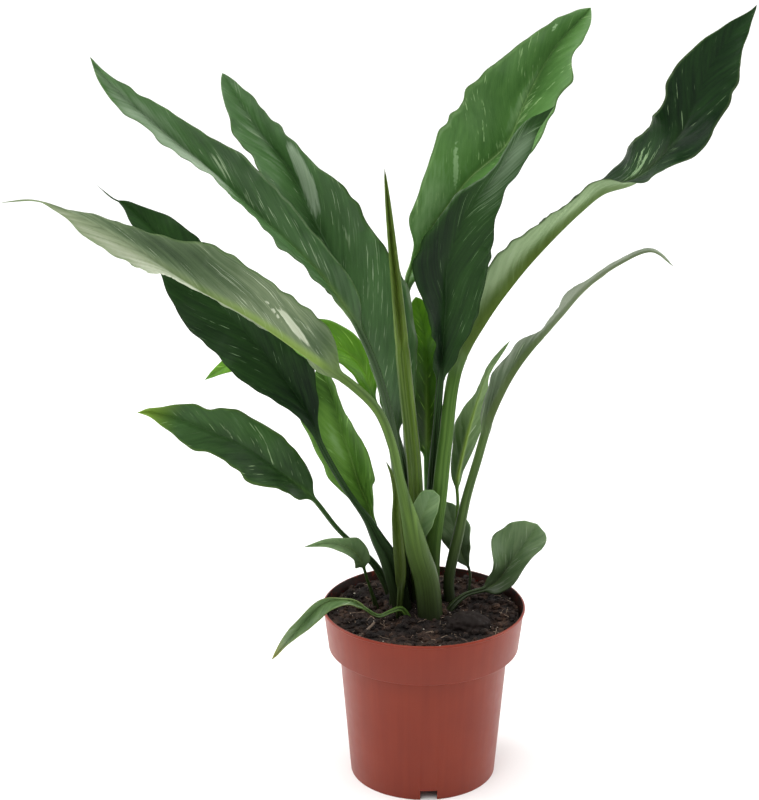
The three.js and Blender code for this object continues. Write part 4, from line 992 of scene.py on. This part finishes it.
def lay_sheet(number, points, maps, masks):
    """Adds a grid, lays it at the points, gives it maps in cm and masks, and closes it."""
    rows, columns = points.shape[:2]
    bpy.ops.mesh.primitive_grid_add(x_subdivisions=columns - 1, y_subdivisions=rows - 1, size=1,
                                    calc_uvs=True)
    sheet = bpy.context.object
    grid = np.empty(rows * columns * 3)
    sheet.data.vertices.foreach_get("co", grid)
    grid = grid.reshape(-1, 3)
    i = np.rint((grid[:, 1] + 0.5) * (rows - 1)).astype(int)
    j = np.rint((grid[:, 0] + 0.5) * (columns - 1)).astype(int)
    sheet.data.vertices.foreach_set("co", (points * MM)[i, j].ravel())

    corner = np.empty(len(sheet.data.loops), int)
    sheet.data.loops.foreach_get("vertex_index", corner)
    for name, (first, second) in maps.items():
        layer = sheet.data.uv_layers.new(name=name)
        places = np.stack((first + MAP_SHIFT * number, second), -1)[i, j][corner] / 10
        layer.uv.foreach_set("vector", places.astype(np.float32).ravel())
    for name, values in masks.items():
        attribute = sheet.data.attributes.new(name, "FLOAT", "POINT")
        attribute.data.foreach_set("value", values[i, j].astype(np.float32))

    bpy.ops.object.mode_set(mode="EDIT")
    bpy.ops.mesh.select_all(action="SELECT")
    bpy.ops.mesh.remove_doubles(threshold=0.00001)
    bpy.ops.mesh.select_all(action="DESELECT")
    bpy.ops.mesh.select_non_manifold()
    bpy.ops.mesh.fill_holes(sides=0)
    bpy.ops.mesh.select_all(action="SELECT")
    bpy.ops.mesh.normals_make_consistent(inside=False)
    bpy.ops.object.mode_set(mode="OBJECT")
    bpy.ops.object.shade_smooth()
    return sheet


# %% [markdown]
# ## The leaf's finish
# A living leaf is satin, because a thin wax lies over it. Its green is uneven: soft bands follow the side
# veins, cream flecks and streaks lie along them, the underside is greyer and the midrib is yellow-green.
# Light
# and shade are painted on as well: lit parts are made lighter, up to a grey painted sheen, parts in shade
# darker, and the foot of each stem is painted dark, a painted shade.
# Every pattern reads the UV map that follows the veins, so it bends with the blade. One function makes the
# finish of each kind of leaf, from its own colours, because old, young and shaded leaves differ in them.

# %% Leaf material
PATTERNS = (  # map, how many per cm across and along, detail and shift of each
    ("vein_map", (0.25, 0.3), 3, 0),  # broad clouds
    ("vein_map", (2.3, 1.3), 4, 13),  # mottling of 5 mm
    ("vein_map", (1.2, 0.17), 3, 5),  # soft bands along the side veins
    ("vein_map", (8, 0.7), 2, 9),  # fine fibres
    ("vein_map", (0.45, 0.2), 2, 31),  # regions that have flecks
    ("vein_map", (5, 1.3), 2, 17),  # thin flecks
    ("vein_map", (2.6, 0.7), 4, 57),  # a few broad ones
    ("flat_map", (7, 0.12), 3, 3),  # stripes of the stem
)
# the foot of each stem is painted dark between these heights, a painted shade where the stems crowd in the
# crown
FOOT_SHADE_FROM, FOOT_SHADE_TO = 100, 165  # mm above the table, fading upward
MASKS = "under", "blade", "midrib", "margin", "tip", "paler", "flecked", "patches"


def leaf_finish(name, flecks, colours, gloss=0.35, veined=0.2, soil_and_shade=0.9, tips=None):
    deep, fresh, back_deep, back_fresh, rib, stem_deep, stem_fresh, fleck, sheen_and_cream = (
        linear(colour) for colour in colours.split())
    material, tree, shader = new_material(name)
    under, blade, midrib, margin, tip, paler, flecked, cream = (
        add_node(tree, "ShaderNodeAttribute", attribute_name=mask).outputs["Fac"] for mask in MASKS)
    noises = []
    for uv_map, scale, detail, shift in PATTERNS:
        flat = add_node(tree, "ShaderNodeUVMap", uv_map=uv_map)
        placed = add_node(tree, "ShaderNodeMapping", {
            "Vector": flat, "Scale": (*scale, 1), "Location": (shift, shift, 0)})
        noises.append(add_node(tree, NOISE, {
            "Vector": placed, "Scale": 1, "Detail": detail, "Roughness": 0.55}))
    clouds, mottling, bands, fibres, regions, thin, broad, stripes = noises

    # tone: 0 is deep, 1 is fresh, and beyond both it goes on to a painted shade and to a painted sheen. It
    # starts from the spots of painted light and shade
    tone = paler
    for noise, low, high, least, most in ((clouds, 0.3, 0.7, 0, 0.8 - veined), (bands, 0.33, 0.67, 0, veined),
                                          (fibres, 0.2, 0.8, -0.08, 0.08), (mottling, 0.3, 0.7, -0.12, 0.32)):
        part = add_node(tree, RANGE, [noise, low, high, least, most])
        tone = add_node(tree, MATH, [tone, part], operation="ADD")
    top = add_node(tree, MIX, {0: tone, 6: deep, 7: fresh}, data_type="RGBA").outputs[2]
    bottom = add_node(tree, MIX, {0: tone, 6: back_deep, 7: back_fresh}, data_type="RGBA").outputs[2]
    # a painted shade: the deep green darkened, for the parts of a blade that lie in shade
    dark = [0.3 * part for part in deep[:3]] + [1]

    # pale patches with clear edges, broken up by the fibres
    ragged = add_node(tree, RANGE, [mottling, 0.3, 0.7, -0.12, 0.12])
    cream = add_node(tree, MATH, [cream, ragged], operation="ADD")
    cream = add_node(tree, RANGE, [cream, 0.42, 0.6])
    streaks = add_node(tree, RANGE, [fibres, 0.3, 0.7, 0.6, 1])
    cream = add_node(tree, MATH, [cream, streaks], operation="MULTIPLY")

    # flecks: short thin streaks that come in patches, and a few broad ones
    regions = add_node(tree, RANGE, [regions, 0.42, 0.6])
    share = add_node(tree, MATH, [flecked, flecks], operation="ADD")
    share = add_node(tree, MATH, [share, 0.05], operation="MULTIPLY")
    thin = add_node(tree, MATH, [thin, share], operation="ADD")
    thin = add_node(tree, RANGE, [thin, 0.7, 0.76])
    thin = add_node(tree, MATH, [thin, regions], operation="MULTIPLY")
    broad = add_node(tree, MATH, [broad, share], operation="ADD")
    broad = add_node(tree, RANGE, [broad, 0.74, 0.77, 0, 0.8])
    marks = add_node(tree, MATH, [thin, broad], operation="MAXIMUM")

    # the stem is striped, and painted dark at the foot, a painted shade where the stems crowd in the crown
    striped = add_node(tree, RANGE, [stripes, 0.35, 0.65])
    stem = add_node(tree, MIX, {0: striped, 6: stem_deep, 7: stem_fresh}, data_type="RGBA").outputs[2]
    apart = add_node(tree, "ShaderNodeSeparateXYZ", [add_node(tree, "ShaderNodeTexCoord").outputs["Object"]])
    foot = add_node(tree, RANGE, [apart.outputs["Z"], FOOT_SHADE_FROM * MM, FOOT_SHADE_TO * MM, soil_and_shade, 0])

    # the layers of colour, from the lowest to the highest; a high tone gives a painted sheen and a low one a
    # painted shade
    rib_strength = add_node(tree, RANGE, [under, 0, 1, 0.35, 0.8])
    layers = [
        (under, bottom), (add_node(tree, RANGE, [tone, 1.05, 2.2]), sheen_and_cream),
        (add_node(tree, RANGE, [tone, -1, 0, 1, 0]), dark), (cream, sheen_and_cream),
        (add_node(tree, MATH, [marks, 0.8], operation="MULTIPLY"), fleck),
        (add_node(tree, MATH, [midrib, rib_strength], operation="MULTIPLY"), rib),
        (add_node(tree, MATH, [margin, 0.15], operation="MULTIPLY"), rib)]
    if tips:
        layers.append((add_node(tree, MATH, [tip, 0.75], operation="MULTIPLY"), linear(tips)))
    stemless = add_node(tree, MATH, [1, blade], operation="SUBTRACT")
    # the painted shade at the foot of the stem
    layers += [(stemless, stem), (foot, linear("#191d0e"))]
    green = top
    for amount, colour in layers:
        green = add_node(tree, MIX, {0: amount, 6: green, 7: colour}, data_type="RGBA").outputs[2]

    # relief and sheen
    relief = 0
    for noise, height in ((bands, 0.4 + 2.4 * veined), (fibres, 0.4), (mottling, 0.6)):
        part = add_node(tree, MATH, [noise, height], operation="MULTIPLY")
        relief = add_node(tree, MATH, [relief, part], operation="ADD")
    bump = add_node(tree, "ShaderNodeBump", {"Height": relief, "Strength": 0.5, "Distance": 0.0005})
    dull = add_node(tree, RANGE, [clouds, 0.3, 0.7, 0.36, 0.46])
    duller = add_node(tree, MATH, [under, 0.18], operation="MULTIPLY")
    rough = add_node(tree, MATH, [dull, duller], operation="ADD")
    tree.links.new(green, shader.inputs["Base Color"])
    tree.links.new(rough.outputs[0], shader.inputs["Roughness"])
    tree.links.new(bump.outputs[0], shader.inputs["Normal"])
    shader.inputs["IOR"].default_value = 1.4  # wax
    shader.inputs["Specular IOR Level"].default_value = gloss
    return material


# %% [markdown]
# Old leaves are a dark, cool green, and those in the shade of others are painted darker still, a painted
# shade.
# Young ones are lighter and yellower, and those lit from behind are painted brighter, a painted glow of light
# through the blade. The undersides are pale. The sheen differs too: the broad upper leaves are glossy with
# wax, and the dark ones in the shade are dull.

# %% The finish of each kind of leaf
# colours: deep and fresh green above, the same two below, midrib, deep and fresh stem, flecks, and one colour
# for both the cream patches and a painted sheen
FINISHES = {
    "mature": leaf_finish("mature_leaf", flecks=0.8, gloss=0.5, colours=(
        "#24421b #466b39 #5f7850 #80976b #7d9a4a #1f3713 #334f22 #aec49c #9aad93")),
    "low": leaf_finish("low_mature_leaf", flecks=0.7, gloss=0.25, tips="#7fa036", colours=(
        "#1b3414 #3a5c2c #5f7850 #80976b #6d9a3a #29431c #446630 #a0bc8a #8ba283")),
    "fresh": leaf_finish("full_grown_leaf", flecks=1, gloss=0.45, colours=(
        "#3b612c #5b8645 #6a8858 #88a070 #93b066 #233c14 #375520 #a9cc8c #9dbf8c")),
    # leaves in the shade of others: greens painted darker, a painted shade
    "shaded": leaf_finish("old_dark_leaf", flecks=0.5, gloss=0.12, colours=(
        "#0f200f #26431c #5f7850 #7d936a #2f4a20 #182810 #2f4a26 #86a578 #70866a")),
    # its upper face is painted dark too, a painted shade; its pale back is its own colour
    "twisted": leaf_finish("dark_leaf_with_pale_back", flecks=0.5, gloss=0.12, veined=0.3, colours=(
        "#0c200d #1f3d18 #627b50 #8fa47c #46590f #34501c #4f6d30 #9cba8a #9fb090")),
    "pale": leaf_finish("leaf_seen_from_below", flecks=0.9, gloss=0.3, veined=0.45, colours=(
        "#31512a #4f7042 #46593a #7f8d6b #7a9639 #38501c #587430 #c3cfb2 #b9c0a8")),
    "hidden": leaf_finish("low_leaf_seen_from_below", flecks=0.6, gloss=0.3, veined=0.3, colours=(
        "#31512a #4f7042 #3b5626 #647e4b #7a9639 #3e5c20 #5c7c34 #b3c4a0 #a3b193")),
    "arching": leaf_finish("arching_leaf_seen_from_below", flecks=0.8, gloss=0.3, veined=0.3, colours=(
        "#2c4a24 #4a6a3c #5a6a50 #a3ab9a #4d5f2e #344920 #526b33 #b9c9a4 #c2c7b8")),
    # young leaves lit from behind: greens painted brighter and more saturated, a painted glow of light
    # through the blade
    "backlit": leaf_finish("young_thin_leaf", flecks=1, colours=(
        "#365f08 #5e9410 #4c7a20 #6a9a34 #88b048 #2f5414 #4c7830 #9cc858 #8fb850")),
    # lighter and yellower as a young leaf is, and painted brighter too, a painted glow of light through the
    # blade
    "young": leaf_finish("young_leaf", flecks=0.8, gloss=0.3, colours=(
        "#375a1a #628d38 #4f7a34 #6f9a50 #8fb85a #2a4c1c #456f2a #9cc870 #a8c890")),
    "small": leaf_finish("small_low_leaf", flecks=0.8, gloss=0.4, colours=(
        "#4e6e42 #7e9968 #5a7a48 #78965e #7f9c50 #2f4a1a #52722f #b8c8aa #9fb292")),
    "rim": leaf_finish("leaf_over_rim", flecks=0.8, gloss=0.4, soil_and_shade=0.3, tips="#9c9a40", colours=(
        "#3c5a2e #698654 #5a7a48 #78965e #7f9c50 #3c5a1f #5f8034 #b8c8aa #9fb292")),
    "spike": leaf_finish("rolled_new_leaf", flecks=0.2, colours=(
        "#384816 #536b22 #4c6622 #668034 #6a8036 #3a5214 #597324 #9fb060 #8aa24c")),
}
print(len(FINISHES), "leaf finishes")

# %% [markdown]
# Each leaf now gets its sheet and its finish, and takes the place of its node in the CAD model.

# %% Make the leaves
for number, leaf in enumerate(LEAVES):
    sheet = lay_sheet(number, *leaf_form(number, leaf))
    finish_piece(sheet, "living_" + leaf["name"], FINISHES[leaf["finish"]], "leaf_green", leaf["name"])
